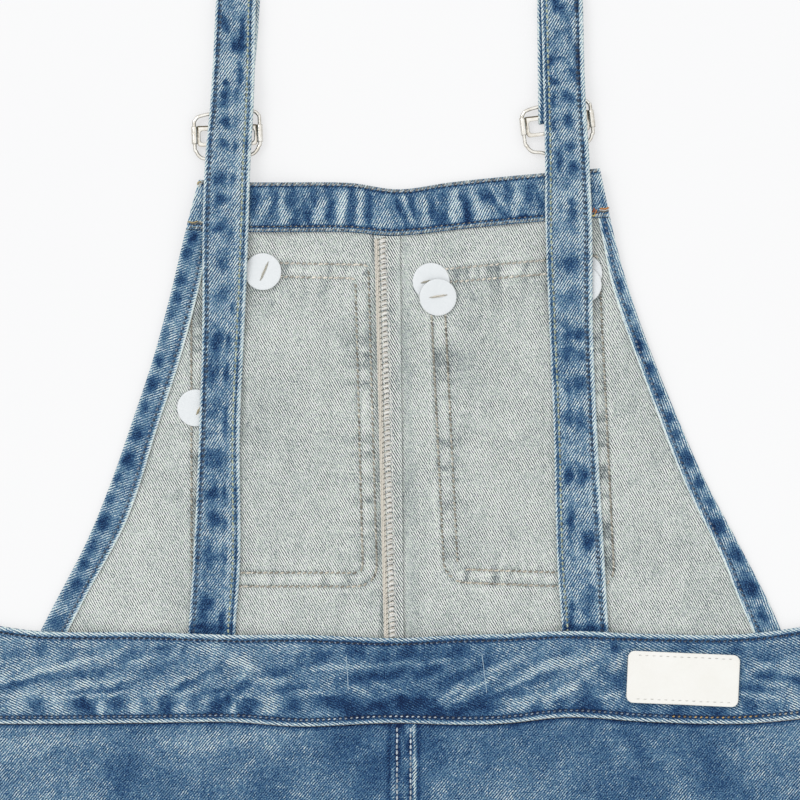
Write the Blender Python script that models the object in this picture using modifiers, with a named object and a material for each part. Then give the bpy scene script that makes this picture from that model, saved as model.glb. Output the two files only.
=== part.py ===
"""Denim dungarees laid flat on their front, so that their back and the inside of the bib are on top.

The straps run towards +Y, the leg hems towards -Y, and the surface they lie on is z = 0. Sizes are in
millimetres. Across, they count from the centre line. Along the garment, they count from the top edge of the
back waistband, and MIDDLE moves the whole so that its box is centred on the origin.
"""

import math
from collections import namedtuple

import bmesh
import bpy
from mathutils import Matrix, Vector
from mathutils.bvhtree import BVHTree

MM = 0.001
GAP = 0.3  # between two pieces that are sewn together or lie on each other

# Walls: how thick each kind of cloth is.
PANEL_WALL = 1.2
FACING_WALL = 1.0
POCKET_WALL = 1.0
BAND_WALL = 2.0
STRAP_WALL = 2.0
SEAM_WALL = 1.1
DISC_WALL = 0.8
PATCH_WALL = 1.0

# The garment's two ends.
HEM = -1040.0
SHOULDER = 446.0
MIDDLE = -(HEM + SHOULDER) / 2

# Bib: its two side edges and its top edge.
Side = namedtuple("Side", "y left right")
BIB_SIDES = (
    Side(-8, -204, 213),
    Side(19, -190, 201),
    Side(52, -173, 184),
    Side(85, -159.5, 166.5),
    Side(118, -148, 152),
    Side(151, -137, 138.5),
    Side(184, -128, 126.5),
    Side(217, -120, 117),
    Side(256, -110, 108.5),
)
Top = namedtuple("Top", "x y")
BIB_TOP = (
    Top(-112, 250),
    Top(-84, 248.6),
    Top(-30, 248.6),
    Top(-2, 245),
    Top(25, 248.6),
    Top(45, 250.8),
    Top(78, 253.6),
    Top(110, 256.3),
)
TOP_HEM = 27.0  # height of the hem along the bib's top edge
FRONT_BAND_DROP = 5.0  # the front waistband's top edge, below the back one's
Facing = namedtuple("Facing", "y left right")
FACINGS = (  # how wide the two side facings are
    Facing(-8, 15.4, 15.8),
    Facing(19, 15.2, 15.8),
    Facing(41, 15.8, 13.4),
    Facing(65, 17.0, 12.6),
    Facing(107, 15.2, 11.0),
    Facing(140, 15.0, 9.6),
    Facing(195, 15.0, 8.6),
    Facing(217, 15.0, 7.0),
    Facing(256, 15.0, 6.6),
)
Seam = namedtuple("Seam", "y left right")
BIB_SEAM = (Seam(-6, -10, 1), Seam(221, -15.5, -1))

# Bib pockets, on the outside of the bib.
# foot and head are the slopes of a pocket's lower and upper edge, along its own width.
Pocket = namedtuple("Pocket", "side x y width height turn foot head")
POCKETS = (
    Pocket("left", -65.9, 115.6, 101.4, 179.4, 0.0, 0.0, -0.02),
    Pocket("right", 65.8, 116, 95, 179, 2.8, -0.09, 0.04),
)
POCKET_CORNER = 12.0
POCKET_MARGIN = 13.0  # how far past a pocket the bib stays raised
POCKET_EASE = 14.0

# Buckles: the middle of each slider, how far it is turned on the surface, how far from the middle its sleeves
# are, and how far the wire has slid up through them.
Buckle = namedtuple("Buckle", "side x y turn half slide")
BUCKLES = (Buckle("left", -96, 275.2, 1.9, 17.9, 0.8), Buckle("right", 85.3, 281.6, 6.7, 18.9, -0.9))
WIRE = 1.9  # diameter
WIRE_LEVEL = 3.3  # height of the wire's middle
WIRE_SKEW = 0.058  # how much higher the wire stands for each millimetre to the right
SKEW_RISE = 18.0  # how far above the loop that begins to tell in full
LOOP_RADIUS = 5.0
LOOP_MIDDLE = -39.0
Bend = namedtuple("Bend", "inside y")
WIRE_BENDS = (  # inside is how far a point stands inside the sleeves
    Bend(7.6, 11.0),
    Bend(2.6, 10.2),
    Bend(1.3, 9.3),
    Bend(0.35, 8.0),
    Bend(0, 7.0),
    Bend(0, -6.9),
    Bend(0.7, -8.7),
    Bend(1.7, -10.8),
    Bend(3.5, -12.5),
    Bend(5.5, -13.2),
    Bend(9.2, -14.2),
)
WIRE_TOP = 11.4
Neck = namedtuple("Neck", "x y")
WIRE_NECK = (Neck(6.6, -16.4), Neck(5.4, -20.5), Neck(5.0, -27))
SLEEVE_OUTER = 1.75
SLEEVE_BORE = 1.25
SLEEVE_LENGTH = 9.6
PLATE_WALL = 1.3
PLATE_TOP = 5.0
PLATE_BOTTOM = -6.4
PLATE_CORNERS = (1.8, 1.8, 0.6, 0.6)  # the two at the bottom keep clear of the wire
PLATE_INSET = 1.0  # how far inside the sleeves' middles the plate ends
OPENING_INSET = 3.2  # the same for its opening, whose upper edge is the bar that the strap is turned round
OPENING_TOP = 2.3
OPENING_BOTTOM = -4.4
OPENING_CORNERS = (1.6,) * 4
BUTTON_FROM_SLIDER = 40.3
SHANK = 2.5
Ring = namedtuple("Ring", "radius z")
BUTTON_PROFILE = (
    Ring(0, 4.25),
    Ring(SHANK, 4.25),
    Ring(SHANK, 2.0),
    Ring(8.0, 1.9),
    Ring(8.5, 1.2),
    Ring(8.2, 0.4),
    Ring(7.2, 0),
    Ring(0, 0),
)
BUTTON_LIFT = 4.55  # how high a button and the wire round it hold the bib
LIFT_HALF_WIDTH = 15.0
LIFT_DEPTH = 24.0  # how far down from the top edge the bib stays at that height
LIFT_EASE = 26.0

# Straps: the middle of the back run and of the front run, and how wide each is.
Strap = namedtuple("Strap", "y back front width")
STRAPS = {
    "left": (
        Strap(-12, -104.9, 0, 26.2),
        Strap(4, -104.2, 0, 26),
        Strap(41, -101.7, 0, 26),
        Strap(113, -100.1, 0, 22.6),
        Strap(173, -97.9, 0, 23.4),
        Strap(223, -96.6, -97, 25.2),
        Strap(261, -95.4, -96, 25),
        Strap(294, -93, -93.4, 23.8),
        Strap(349, -91, -89.1, 22.2),
        Strap(SHOULDER, -87.2, -87.2, 22.2),
    ),
    "right": (
        Strap(-12, 101.2, 0, 25.4),
        Strap(4, 100.6, 0, 25.6),
        Strap(41, 98.2, 0, 26.2),
        Strap(113, 95.2, 0, 24),
        Strap(173, 92.7, 0, 24.2),
        Strap(223, 91.4, 86, 25.7),
        Strap(261, 90.5, 86, 24.4),
        Strap(294, 89.1, 85.8, 23),
        Strap(349, 87.7, 85.3, 23),
        Strap(SHOULDER, 85, 85, 22.5),
    ),
}
FRONT_RUN_WIDTH = 22.0
STRAP_END = -12.0  # tucked under the back waistband
STRAP_STEP = 6.5
SHOULDER_BEND = 2.0  # radius of the middle of the wall, at the shoulder
SLIDER_BEND = 2.3  # the same, round the slider's bar
BEND_STEPS = 7
LOOP_SHIFT = 3.2  # the middle of that bend, from the middle of the slider
SKEW_FADE = 55.0
Level = namedtuple("Level", "y z")
# Heights of the middle of the wall, past the bib. FRONT_RUN counts along Y from the slider.
BACK_RUN = (Level(262, 7.95), Level(299.5, 7.95), Level(313, 5.75), Level(343, 5.65), Level(358, 3.4),
            Level(415, 3.3), Level(SHOULDER - 3, 5.0))
FRONT_RUN = (Level(0, 5.6), Level(14.5, 5.6), Level(28, 3.35), Level(56, 3.35), Level(68, 1.0), Level(200, 1.0))
TAIL = 56.0

# Backing discs on the inside of the bib.
DISC_RADIUS = 10.2
Disc = namedtuple("Disc", "number x y lean towards")
DISCS = (
    Disc(1, -76.4, 199.7, 0.0, 0),
    Disc(2, 16.0, 194.4, 0.0, 0),
    Disc(3, 19.8, 185.6, 6.5, 113),
    Disc(4, 99.8, 199.1, 0.0, 0),
    Disc(5, 99.4, 192.5, 0.0, 0),
    Disc(6, -113.3, 124.9, 0.0, 0),
)

# Waistbands: the back one's top and bottom edges.
BAND_END = 235.0
Band = namedtuple("Band", "x top bottom")
BAND = (
    Band(-BAND_END, 7.5, -48.5),
    Band(-199, 2.4, -48.5),
    Band(-139, 1.9, -48),
    Band(-92, 0.5, -47.5),
    Band(-56, 0.5, -50),
    Band(-6, -1.3, -48),
    Band(32, 0.3, -49),
    Band(56, 0.9, -48.3),
    Band(92, 2.6, -44.8),
    Band(136, 0.9, -47.5),
    Band(186, 0.8, -48.4),
    Band(BAND_END, 6.8, -44),
)
PATCH = Top(154.2, -23.7)
PATCH_WIDTH = 61.5
PATCH_HEIGHT = 28.5
PATCH_CORNER = 3.6
PATCH_TURN = -2.5

# Seat and legs: the outer edge and the inner edge of one side.
Leg = namedtuple("Leg", "y outer inner")
LEGS = (
    Leg(HEM, 255, 45),
    Leg(-820, 253, 35.5),
    Leg(-600, 253, 25),
    Leg(-450, 254.5, 15),
    Leg(-360, 255, 6),
    Leg(-325, 255, 1.2),
    Leg(-300, 255, 0),
    Leg(-200, 255, 0),
    Leg(-110, 247, 0),
    Leg(-40, 235, 0),
)
BACK_SEAM = 1.0  # the back centre seam, off the centre line
HEM_TURN = 18.0
HEM_WALL = 0.9  # what the turned hem adds
FELL_WALL = 0.8  # what a felled seam adds
EDGE_FADE = 34.0  # folds die out this far from a panel's edge
MOST_LOFT = 3.2
Fold = namedtuple("Fold", "x y length width height turn")
FOLDS = (
    Fold(-118, -92, 60, 26, 1.4, 12),
    Fold(120, -100, 66, 28, 1.3, -14),
    Fold(-60, -250, 90, 16, 2.2, -38),
    Fold(-105, -305, 95, 18, 2.0, -20),
    Fold(62, -262, 84, 15, 2.3, 36),
    Fold(112, -318, 100, 19, 1.9, 22),
    Fold(-150, -430, 130, 26, 1.8, 74),
    Fold(138, -455, 120, 24, 2.0, 98),
    Fold(-110, -610, 84, 15, 2.6, 14),
    Fold(-165, -655, 70, 14, 2.2, -12),
    Fold(120, -600, 80, 14, 2.5, -16),
    Fold(172, -662, 74, 15, 2.1, 10),
    Fold(-140, -800, 120, 22, 1.9, 86),
    Fold(160, -835, 125, 22, 1.8, 95),
    Fold(-150, -950, 66, 16, 1.7, 20),
    Fold(148, -965, 70, 15, 1.8, -18),
)

FINISHES = {  # base colour, roughness, metallic
    "denim": ((0.12, 0.21, 0.32), 0.9, 0.0),
    "denim_inside": ((0.50, 0.54, 0.53), 0.9, 0.0),
    "backing": ((0.83, 0.85, 0.85), 0.7, 0.0),
    "leather": ((0.88, 0.87, 0.83), 0.55, 0.0),
    "nickel": ((0.62, 0.60, 0.57), 0.28, 1.0),
}


def lerp(start, end, share):
    return start + (end - start) * share


def ease(share):
    """0 to 1 with a soft start and end."""
    share = min(1.0, max(0.0, share))
    return share * share * (3 - 2 * share)


def span_of(table, at):
    """The two rows round a place, and how far between them it is."""
    above = next((i for i, row in enumerate(table) if row[0] > at), len(table) - 1)
    first = max(0, above - 1)
    start, end = table[first], table[first + 1]
    return first, (at - start[0]) / (end[0] - start[0])


def curve(table, column, at):
    """A smooth curve through a column of the table, whose rows are placed by their first column."""
    first, share = span_of(table, at)

    def value(row):
        return getattr(table[row], column)

    def slope(row):
        low, high = max(0, row - 1), min(len(table) - 1, row + 1)
        return (value(high) - value(low)) / (table[high][0] - table[low][0])

    step = table[first + 1][0] - table[first][0]
    share_2, share_3 = share**2, share**3
    return (
        (2 * share_3 - 3 * share_2 + 1) * value(first)
        + (share_3 - 2 * share_2 + share) * step * slope(first)
        + (3 * share_2 - 2 * share_3) * value(first + 1)
        + (share_3 - share_2) * step * slope(first + 1)
    )


def level(table, at):
    """A height that eases from row to row and holds its first and last values."""
    first, share = span_of(table, at)
    return lerp(table[first].z, table[first + 1].z, ease(share))


def stations(count):
    return [i / count for i in range(count + 1)]


# ---------------------------------------------------------------- making and placing pieces

parts = bpy.data.collections.new("denim_dungarees")
cutters = bpy.data.collections.new("cutters")
surfaces = {}  # the upper face of each piece made so far, for what is laid on it


def clear_scene():
    for item in list(bpy.data.objects):
        bpy.data.objects.remove(item, do_unlink=True)
    for collection in (parts, cutters):
        bpy.context.scene.collection.children.link(collection)


def material(name, finish):
    colour, roughness, metallic = FINISHES[finish]
    made = bpy.data.materials.new(f"{name}_{finish}")
    made.use_nodes = True
    shader = made.node_tree.nodes["Principled BSDF"]
    shader.inputs["Base Color"].default_value = (*colour, 1.0)
    shader.inputs["Roughness"].default_value = roughness
    shader.inputs["Metallic"].default_value = metallic
    return made


def add(name, data, finish, collection=parts):
    made = bpy.data.objects.new(name, data)
    collection.objects.link(made)
    if finish:
        data.materials.append(material(name, finish))
    return made


def place(piece, x, y, z=0.0, turn=0.0):
    """Sets a piece that was made round its own middle at its place on the garment."""
    piece.location = Vector((x, y + MIDDLE, z)) * MM
    piece.rotation_euler = (0.0, 0.0, math.radians(turn))


def remember(name, mesh, matrix=None):
    copy = mesh.copy()
    if matrix:
        copy.transform(matrix)
    surfaces[name] = BVHTree.FromBMesh(copy)
    copy.free()


def top_of(name, x, y):
    """The height of a piece's upper face at a place, or 0 beside the piece."""
    high = 0.05
    spot = Vector((x * MM, (y + MIDDLE) * MM, high))
    hit = surfaces[name].ray_cast(spot, Vector((0, 0, -1)), high)[0]
    return hit.z / MM if hit else 0.0


def settled(below, x, y, reach):
    """The height at which cloth lies clear of all that is below it within reach of a place."""
    spots = [(x + dx, y + dy) for dx in (-reach, 0, reach) for dy in (-reach, 0, reach)]
    return max(top_of(name, *spot) for name in below for spot in spots) + GAP


def cloth(name, finish, columns, rows, lay):
    """A wall of cloth: lay(u, v) gives a place on it, and the heights of its lower and upper face there."""
    mesh = bmesh.new()
    bmesh.ops.create_grid(mesh, x_segments=len(columns) - 1, y_segments=len(rows) - 1, size=0.5)
    upper = {}
    for vert in mesh.verts:
        u = columns[round((vert.co.x + 0.5) * (len(columns) - 1))]
        v = rows[round((vert.co.y + 0.5) * (len(rows) - 1))]
        x, y, low, high = lay(u, v)
        vert.co = Vector((x, y + MIDDLE, low)) * MM
        upper[vert] = (high - low) * MM
    raised = bmesh.ops.extrude_face_region(mesh, geom=mesh.faces[:], use_keep_orig=True)["geom"]
    walls = {(vert.co.x, vert.co.y): wall for vert, wall in upper.items()}
    for vert in raised:
        if isinstance(vert, bmesh.types.BMVert):
            vert.co.z += walls[vert.co.x, vert.co.y]
    bmesh.ops.recalc_face_normals(mesh, faces=mesh.faces[:])
    remember(name, mesh)
    data = bpy.data.meshes.new(name)
    mesh.to_mesh(data)
    mesh.free()
    return add(name, data, finish)


def rounded(width, height, corners, steps=4):
    """The outline of a rectangle round its own middle, with a radius for each corner: two at the bottom, two on top."""
    signs = ((-1, -1), (1, -1), (1, 1), (-1, 1))
    points = []
    for turn, ((across, up), radius) in enumerate(zip(signs, corners)):
        for step in range(steps + 1):
            angle = math.pi + (turn + step / steps) * math.pi / 2
            x = across * (width / 2 - radius) + radius * math.cos(angle)
            y = up * (height / 2 - radius) + radius * math.sin(angle)
            points.append((x, y))
    return points


def plate_mesh(name, outlines, wall):
    """A flat plate that stands on its own z = 0: the first outline is its edge and the others are holes."""
    flat = bpy.data.curves.new(name, "CURVE")
    flat.dimensions = "2D"
    flat.fill_mode = "BOTH"
    flat.extrude = wall / 2 * MM
    for outline in outlines:
        spline = flat.splines.new("POLY")
        spline.points.add(len(outline) - 1)
        for point, (x, y) in zip(spline.points, outline):
            point.co = (x * MM, y * MM, 0.0, 1.0)
        spline.use_cyclic_u = True
    guide = add(name + "_outline", flat, None, cutters)
    bpy.context.view_layer.update()
    graph = bpy.context.evaluated_depsgraph_get()
    data = bpy.data.meshes.new_from_object(guide.evaluated_get(graph))
    bpy.data.objects.remove(guide)
    mesh = bmesh.new()
    mesh.from_mesh(data)
    bmesh.ops.remove_doubles(mesh, verts=mesh.verts[:], dist=0.01 * MM)
    bmesh.ops.translate(mesh, verts=mesh.verts[:], vec=(0.0, 0.0, wall / 2 * MM))
    bmesh.ops.recalc_face_normals(mesh, faces=mesh.faces[:])
    mesh.to_mesh(data)
    mesh.free()
    data.name = name
    return data


def cylinder(name, radius, length, axis, collection=parts, finish=None, segments=16):
    """A cylinder round its own middle, along Y or Z."""
    mesh = bmesh.new()
    bmesh.ops.create_cone(
        mesh,
        cap_ends=True,
        segments=segments,
        radius1=radius * MM,
        radius2=radius * MM,
        depth=length * MM,
    )
    if axis == "Y":
        bmesh.ops.rotate(mesh, verts=mesh.verts[:], matrix=Matrix.Rotation(math.pi / 2, 3, "X"))
    data = bpy.data.meshes.new(name)
    mesh.to_mesh(data)
    mesh.free()
    data.shade_smooth()
    data.set_sharp_from_angle(angle=math.radians(40))
    return add(name, data, finish, collection)


# ---------------------------------------------------------------- bib


def pocket_lift(x, y):
    """How high the pockets hold the bib."""
    lift = 0.0
    for pocket in POCKETS:
        away = Vector((x - pocket.x, y - pocket.y)).to_3d()
        away.rotate(Matrix.Rotation(-math.radians(pocket.turn), 3, "Z"))
        past_x = abs(away.x) - pocket.width / 2 - POCKET_MARGIN
        past_y = abs(away.y) - pocket.height / 2 - POCKET_MARGIN
        past = math.hypot(max(0, past_x), max(0, past_y))
        lift = max(lift, (POCKET_WALL + GAP) * ease(1 - past / POCKET_EASE))
    return lift


def button_spot(buckle):
    turn = math.radians(buckle.turn)
    return (
        buckle.x + BUTTON_FROM_SLIDER * math.sin(turn),
        buckle.y - BUTTON_FROM_SLIDER * math.cos(turn),
    )


def button_lift(x, y):
    """How high the buttons and the wires round them hold the bib's top corners."""
    lift = 0.0
    for buckle in BUCKLES:
        button_x, button_y = button_spot(buckle)
        past_x = max(0, abs(x - button_x) - LIFT_HALF_WIDTH)
        past_y = max(0, button_y - LIFT_DEPTH / 2 - y)
        lift = max(lift, BUTTON_LIFT * ease(1 - math.hypot(past_x, past_y) / LIFT_EASE))
    return lift


def band_edge(x, edge):
    return curve(BAND, edge, min(BAND_END, max(-BAND_END, x)))


def bib_foot(x):
    """Where the bib meets the front waistband, at a place across the bib."""
    return band_edge(x, "top") - FRONT_BAND_DROP + GAP


def hem_edge(x):
    """Where the lower edge of the hem along the bib's top lies, at a place across the bib."""
    level_there = BIB_TOP[0].y - TOP_HEM
    left, right = (curve(BIB_SIDES, side, level_there) for side in ("left", "right"))
    at = lerp(BIB_TOP[0].x, BIB_TOP[-1].x, (x - left) / (right - left))
    return curve(BIB_TOP, "y", at) - TOP_HEM


def bib_half(side):
    corner = {"left": BIB_TOP[0].x, "right": BIB_TOP[-1].x}[side]
    foot = getattr(BIB_SIDES[0], side)
    centre = {"left": -GAP / 2, "right": GAP / 2}[side]

    def lay(u, v):
        y = lerp(bib_foot(lerp(foot, centre, u)), curve(BIB_TOP, "y", lerp(corner, centre, u)), v)
        x = lerp(curve(BIB_SIDES, side, y), centre, u)
        low = max(pocket_lift(x, y), button_lift(x, y))
        return x, y, low, low + PANEL_WALL

    cloth(f"bib_{side}", "denim_inside", stations(13), stations(22), lay)


def bib_seam():
    def lay(u, v):
        end = hem_edge(lerp(BIB_SEAM[-1].left, BIB_SEAM[-1].right, u)) - GAP
        y = lerp(bib_foot(0), end, v)
        x = lerp(curve(BIB_SEAM, "left", y), curve(BIB_SEAM, "right", y), u)
        low = settled(("bib_left", "bib_right"), x, y, 5)
        return x, y, low, low + SEAM_WALL

    cloth("bib_seam", "denim_inside", stations(2), stations(20), lay)


def bib_top_facing():
    def lay(u, v):
        at = lerp(BIB_TOP[0].x, BIB_TOP[-1].x, u)
        y = curve(BIB_TOP, "y", at) - TOP_HEM * (1 - v)
        x = lerp(curve(BIB_SIDES, "left", y), curve(BIB_SIDES, "right", y), u)
        low = settled(("bib_left", "bib_right"), x, y, 5)
        return x, y, low, low + FACING_WALL

    cloth("bib_top_facing", "denim", stations(26), stations(3), lay)


def bib_side_facing(side):
    inwards = {"left": 1, "right": -1}[side]
    corner, narrow = (curve(table, side, BIB_TOP[0].y - TOP_HEM) for table in (BIB_SIDES, FACINGS))
    foot, wide = (getattr(table[0], side) for table in (BIB_SIDES, FACINGS))

    def lay(u, v):
        end = hem_edge(corner + inwards * u * narrow) - GAP
        y = lerp(bib_foot(foot + inwards * u * wide), end, v)
        x = curve(BIB_SIDES, side, y) + inwards * u * curve(FACINGS, side, y)
        low = settled((f"bib_{side}",), x, y, 5)
        return x, y, low, low + FACING_WALL

    cloth(f"bib_facing_{side}", "denim", stations(2), stations(24), lay)


def bib_pockets():
    for pocket in POCKETS:
        name = f"bib_pocket_{pocket.side}"
        corners = (POCKET_CORNER, POCKET_CORNER, 1.5, 1.5)
        outline = [
            (x, y + x * lerp(pocket.foot, pocket.head, y / pocket.height + 0.5))
            for x, y in rounded(pocket.width, pocket.height, corners)
        ]
        piece = add(name, plate_mesh(name, [outline], POCKET_WALL), "denim")
        place(piece, pocket.x, pocket.y, 0.0, pocket.turn)


def backing_discs():
    """White rounds that lie on the bib. A disc that leans rests one side on the disc before it."""
    rings = [(0, 0)] + [
        (DISC_RADIUS * share, turn * math.pi / 8) for share in (0.35, 0.7, 1.0) for turn in range(16)
    ]
    below = ["bib_left", "bib_right", "bib_facing_left"]
    for disc in DISCS:
        name = f"backing_disc_{disc.number}"
        slope = math.tan(math.radians(disc.lean))
        uphill = Vector((math.cos(math.radians(disc.towards)), math.sin(math.radians(disc.towards)), 0))
        rise = 0.0
        for radius, turn in rings:
            spot = Vector((radius * math.cos(turn), radius * math.sin(turn), 0))
            top = max(top_of(item, disc.x + spot.x, disc.y + spot.y) for item in below)
            rise = max(rise, top - slope * spot.dot(uphill) + GAP)
        piece = cylinder(name, DISC_RADIUS, DISC_WALL, "Z", finish="backing", segments=28)
        middle = rise + DISC_WALL / 2 / math.cos(math.radians(disc.lean))
        place(piece, disc.x, disc.y, middle)
        axis = Vector((-uphill.y, uphill.x, 0))
        piece.rotation_euler = Matrix.Rotation(-math.radians(disc.lean), 3, axis).to_euler()
        bpy.context.view_layer.update()
        mesh = bmesh.new()
        mesh.from_mesh(piece.data)
        remember(name, mesh, piece.matrix_world)
        mesh.free()
        below.append(name)


# ---------------------------------------------------------------- straps, buckles and buttons


def strap(side, buckle):
    """One long strip: the back run, the bend at the shoulder, the front run, the bend round the slider, the tail."""
    table = STRAPS[side]
    below = ["waistband_front", "bib_left", "bib_right", "bib_top_facing", "bib_facing_left", "bib_facing_right"]
    below += [f"backing_disc_{disc.number}" for disc in DISCS]
    bib_end = button_spot(buckle)[1] + 12
    bend = buckle.y + LOOP_SHIFT
    crest = SHOULDER - SHOULDER_BEND - STRAP_WALL / 2
    rows = []  # along, height of the wall's middle, run, share of the buckle's turn

    def over(y):
        """The height of the back run's middle: over what the bib holds, then over the front run."""
        x, half = curve(table, "back", y), curve(table, "width", y) / 2
        rest = [settled(below, x + across * half, y, STRAP_STEP) for across in (-1, -0.5, 0, 0.5, 1)]
        return max(rest) + STRAP_WALL / 2

    def front(y):
        return level(FRONT_RUN, y - bend)

    steps = round((bib_end - STRAP_END) / STRAP_STEP)
    for i in range(steps + 1):
        y = lerp(STRAP_END, bib_end, i / steps)
        rows.append((y, over(y), "back", 0.0))
    steps = round((crest - bib_end) / STRAP_STEP)
    for i in range(1, steps + 1):
        y = lerp(bib_end, crest, i / steps)
        rows.append((y, level(BACK_RUN, y), "back", 0.0))
    bend_height = front(crest) + SHOULDER_BEND
    for i in range(1, BEND_STEPS):
        angle = math.pi * (0.5 - i / BEND_STEPS)
        height = bend_height + SHOULDER_BEND * math.sin(angle)
        rows.append((crest + SHOULDER_BEND * math.cos(angle), height, "front", 0.0))
    steps = round((crest - bend) / (STRAP_STEP * 1.3))
    for i in range(steps + 1):
        y = lerp(crest, bend, i / steps)
        rows.append((y, front(y), "front", ease(1 - (y - bend) / SKEW_FADE)))
    for i in range(1, BEND_STEPS):
        angle = math.pi * (0.5 + i / BEND_STEPS)
        height = WIRE_LEVEL + SLIDER_BEND * math.sin(angle)
        rows.append((bend + SLIDER_BEND * math.cos(angle), height, "front", 1.0))
    steps = round(TAIL / (STRAP_STEP * 1.6))
    for i in range(steps + 1):
        y = bend + TAIL * i / steps
        rows.append((y, STRAP_WALL / 2, "front", ease(1 - (y - bend) / SKEW_FADE)))

    mesh = bmesh.new()
    bmesh.ops.create_grid(mesh, x_segments=2, y_segments=len(rows) - 1, size=0.5)
    for vert in mesh.verts:
        y, height, run, skew = rows[round((vert.co.y + 0.5) * (len(rows) - 1))]
        width = curve(table, "width", y) if run == "back" else FRONT_RUN_WIDTH
        across = vert.co.x * width
        along = y + across * skew * math.tan(math.radians(buckle.turn))
        vert.co = Vector((curve(table, run, y) + across, along + MIDDLE, height)) * MM
    name = f"strap_{side}"
    data = bpy.data.meshes.new(name)
    mesh.to_mesh(data)
    mesh.free()
    piece = add(name, data, "denim")
    wall = piece.modifiers.new("Wall", "SOLIDIFY")
    wall.thickness = STRAP_WALL * MM
    wall.offset = 0.0
    wall.use_even_offset = True
    bpy.context.view_layer.update()
    solid = bmesh.new()
    solid.from_object(piece, bpy.context.evaluated_depsgraph_get())
    remember(name, solid)
    solid.free()


def buckle_wire(buckle):
    """A closed wire: a wide top, two sides that the sleeves hold, and a narrow loop round the button's shank."""
    half = [(0.0, WIRE_TOP)]
    half += [(buckle.half - bend.inside, bend.y) for bend in WIRE_BENDS]
    half += [tuple(bend) for bend in WIRE_NECK]
    for step in range(7):
        angle = math.pi / 2 * step / 6
        half.append((LOOP_RADIUS * math.cos(angle), LOOP_MIDDLE - LOOP_RADIUS * math.sin(angle)))
    points = [
        (x, y + (buckle.slide + WIRE_SKEW * x) * ease((y - LOOP_MIDDLE - LOOP_RADIUS) / SKEW_RISE))
        for x, y in half + [(-x, y) for x, y in reversed(half[1:-1])]
    ]
    name = f"buckle_wire_{buckle.side}"
    line = bpy.data.curves.new(name, "CURVE")
    line.dimensions = "3D"
    line.bevel_depth = WIRE / 2 * MM
    line.bevel_resolution = 2
    spline = line.splines.new("POLY")
    spline.points.add(len(points) - 1)
    for point, (x, y) in zip(spline.points, points):
        point.co = (x * MM, y * MM, 0.0, 1.0)
    spline.use_cyclic_u = True
    piece = add(name, line, "nickel")
    place(piece, buckle.x, buckle.y, WIRE_LEVEL, buckle.turn)


def buckle_slider(buckle):
    """A plate with one wide opening and a sleeve rolled round the wire on each side."""
    name = f"buckle_slider_{buckle.side}"
    outlines = []
    for inset, low, high, corners in (
        (PLATE_INSET, PLATE_BOTTOM, PLATE_TOP, PLATE_CORNERS),
        (OPENING_INSET, OPENING_BOTTOM, OPENING_TOP, OPENING_CORNERS),
    ):
        outline = rounded(2 * (buckle.half - inset), high - low, corners)
        outlines.append([(x, y + (low + high) / 2) for x, y in outline])
    piece = add(name, plate_mesh(name, outlines, PLATE_WALL), "nickel")
    place(piece, buckle.x, buckle.y, WIRE_LEVEL - PLATE_WALL / 2, buckle.turn)
    tools = (("UNION", SLEEVE_OUTER, SLEEVE_LENGTH), ("DIFFERENCE", SLEEVE_BORE, 2 * SLEEVE_LENGTH))
    for operation, radius, length in tools:
        for end in (-1, 1):
            tool = cylinder(f"{name}_{operation}_{end}", radius, length, "Y", cutters)
            tool.hide_render = True
            tool.display_type = "WIRE"
            tool.parent = piece
            tool.location = Vector((end * buckle.half, 0, PLATE_WALL / 2)) * MM
            join = piece.modifiers.new(f"{operation} {end}", "BOOLEAN")
            join.operation = operation
            join.object = tool


def bib_button(buckle):
    name = f"bib_button_{buckle.side}"
    data = bpy.data.meshes.new(name)
    points = [Vector((ring.radius, 0, ring.z)) * MM for ring in BUTTON_PROFILE]
    data.from_pydata(points, [(i, i + 1) for i in range(len(points) - 1)], [])
    piece = add(name, data, "nickel")
    turned = piece.modifiers.new("Turned", "SCREW")
    turned.steps = 20
    turned.render_steps = 20
    turned.use_merge_vertices = True
    turned.merge_threshold = 0.00001
    turned.use_smooth_shade = True
    place(piece, *button_spot(buckle))


# ---------------------------------------------------------------- waistbands and patch


def waistband_front():
    def lay(u, v):
        x = lerp(-BAND_END, BAND_END, u)
        y = lerp(band_edge(x, "bottom"), band_edge(x, "top") - FRONT_BAND_DROP, v)
        return x, y, 0.0, BAND_WALL

    cloth("waistband_front", "denim", stations(24), stations(2), lay)


def waistband_back():
    pieces = ["waistband_front", "bib_left", "bib_right", "bib_seam", "bib_facing_left", "bib_facing_right"]
    below = [*pieces, "strap_left", "strap_right"]

    def lay(u, v):
        x = lerp(-BAND_END, BAND_END, u)
        y = lerp(band_edge(x, "bottom"), band_edge(x, "top"), v)
        low = settled(below, x, y, 8.5)
        return x, y, low, low + BAND_WALL

    cloth("waistband_back", "denim", stations(56), stations(6), lay)


def label_patch():
    outline = rounded(PATCH_WIDTH, PATCH_HEIGHT, (PATCH_CORNER,) * 4)
    piece = add("label_patch", plate_mesh("label_patch", [outline], PATCH_WALL), "leather")
    ends = [(across * PATCH_WIDTH / 2, up * PATCH_HEIGHT / 2) for across in (-1, 0, 1) for up in (-1, 0, 1)]
    seat = max(top_of("waistband_back", PATCH.x + dx, PATCH.y + dy) for dx, dy in ends)
    place(piece, PATCH.x, PATCH.y, seat + GAP, PATCH_TURN)


# ---------------------------------------------------------------- seat and legs


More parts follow.
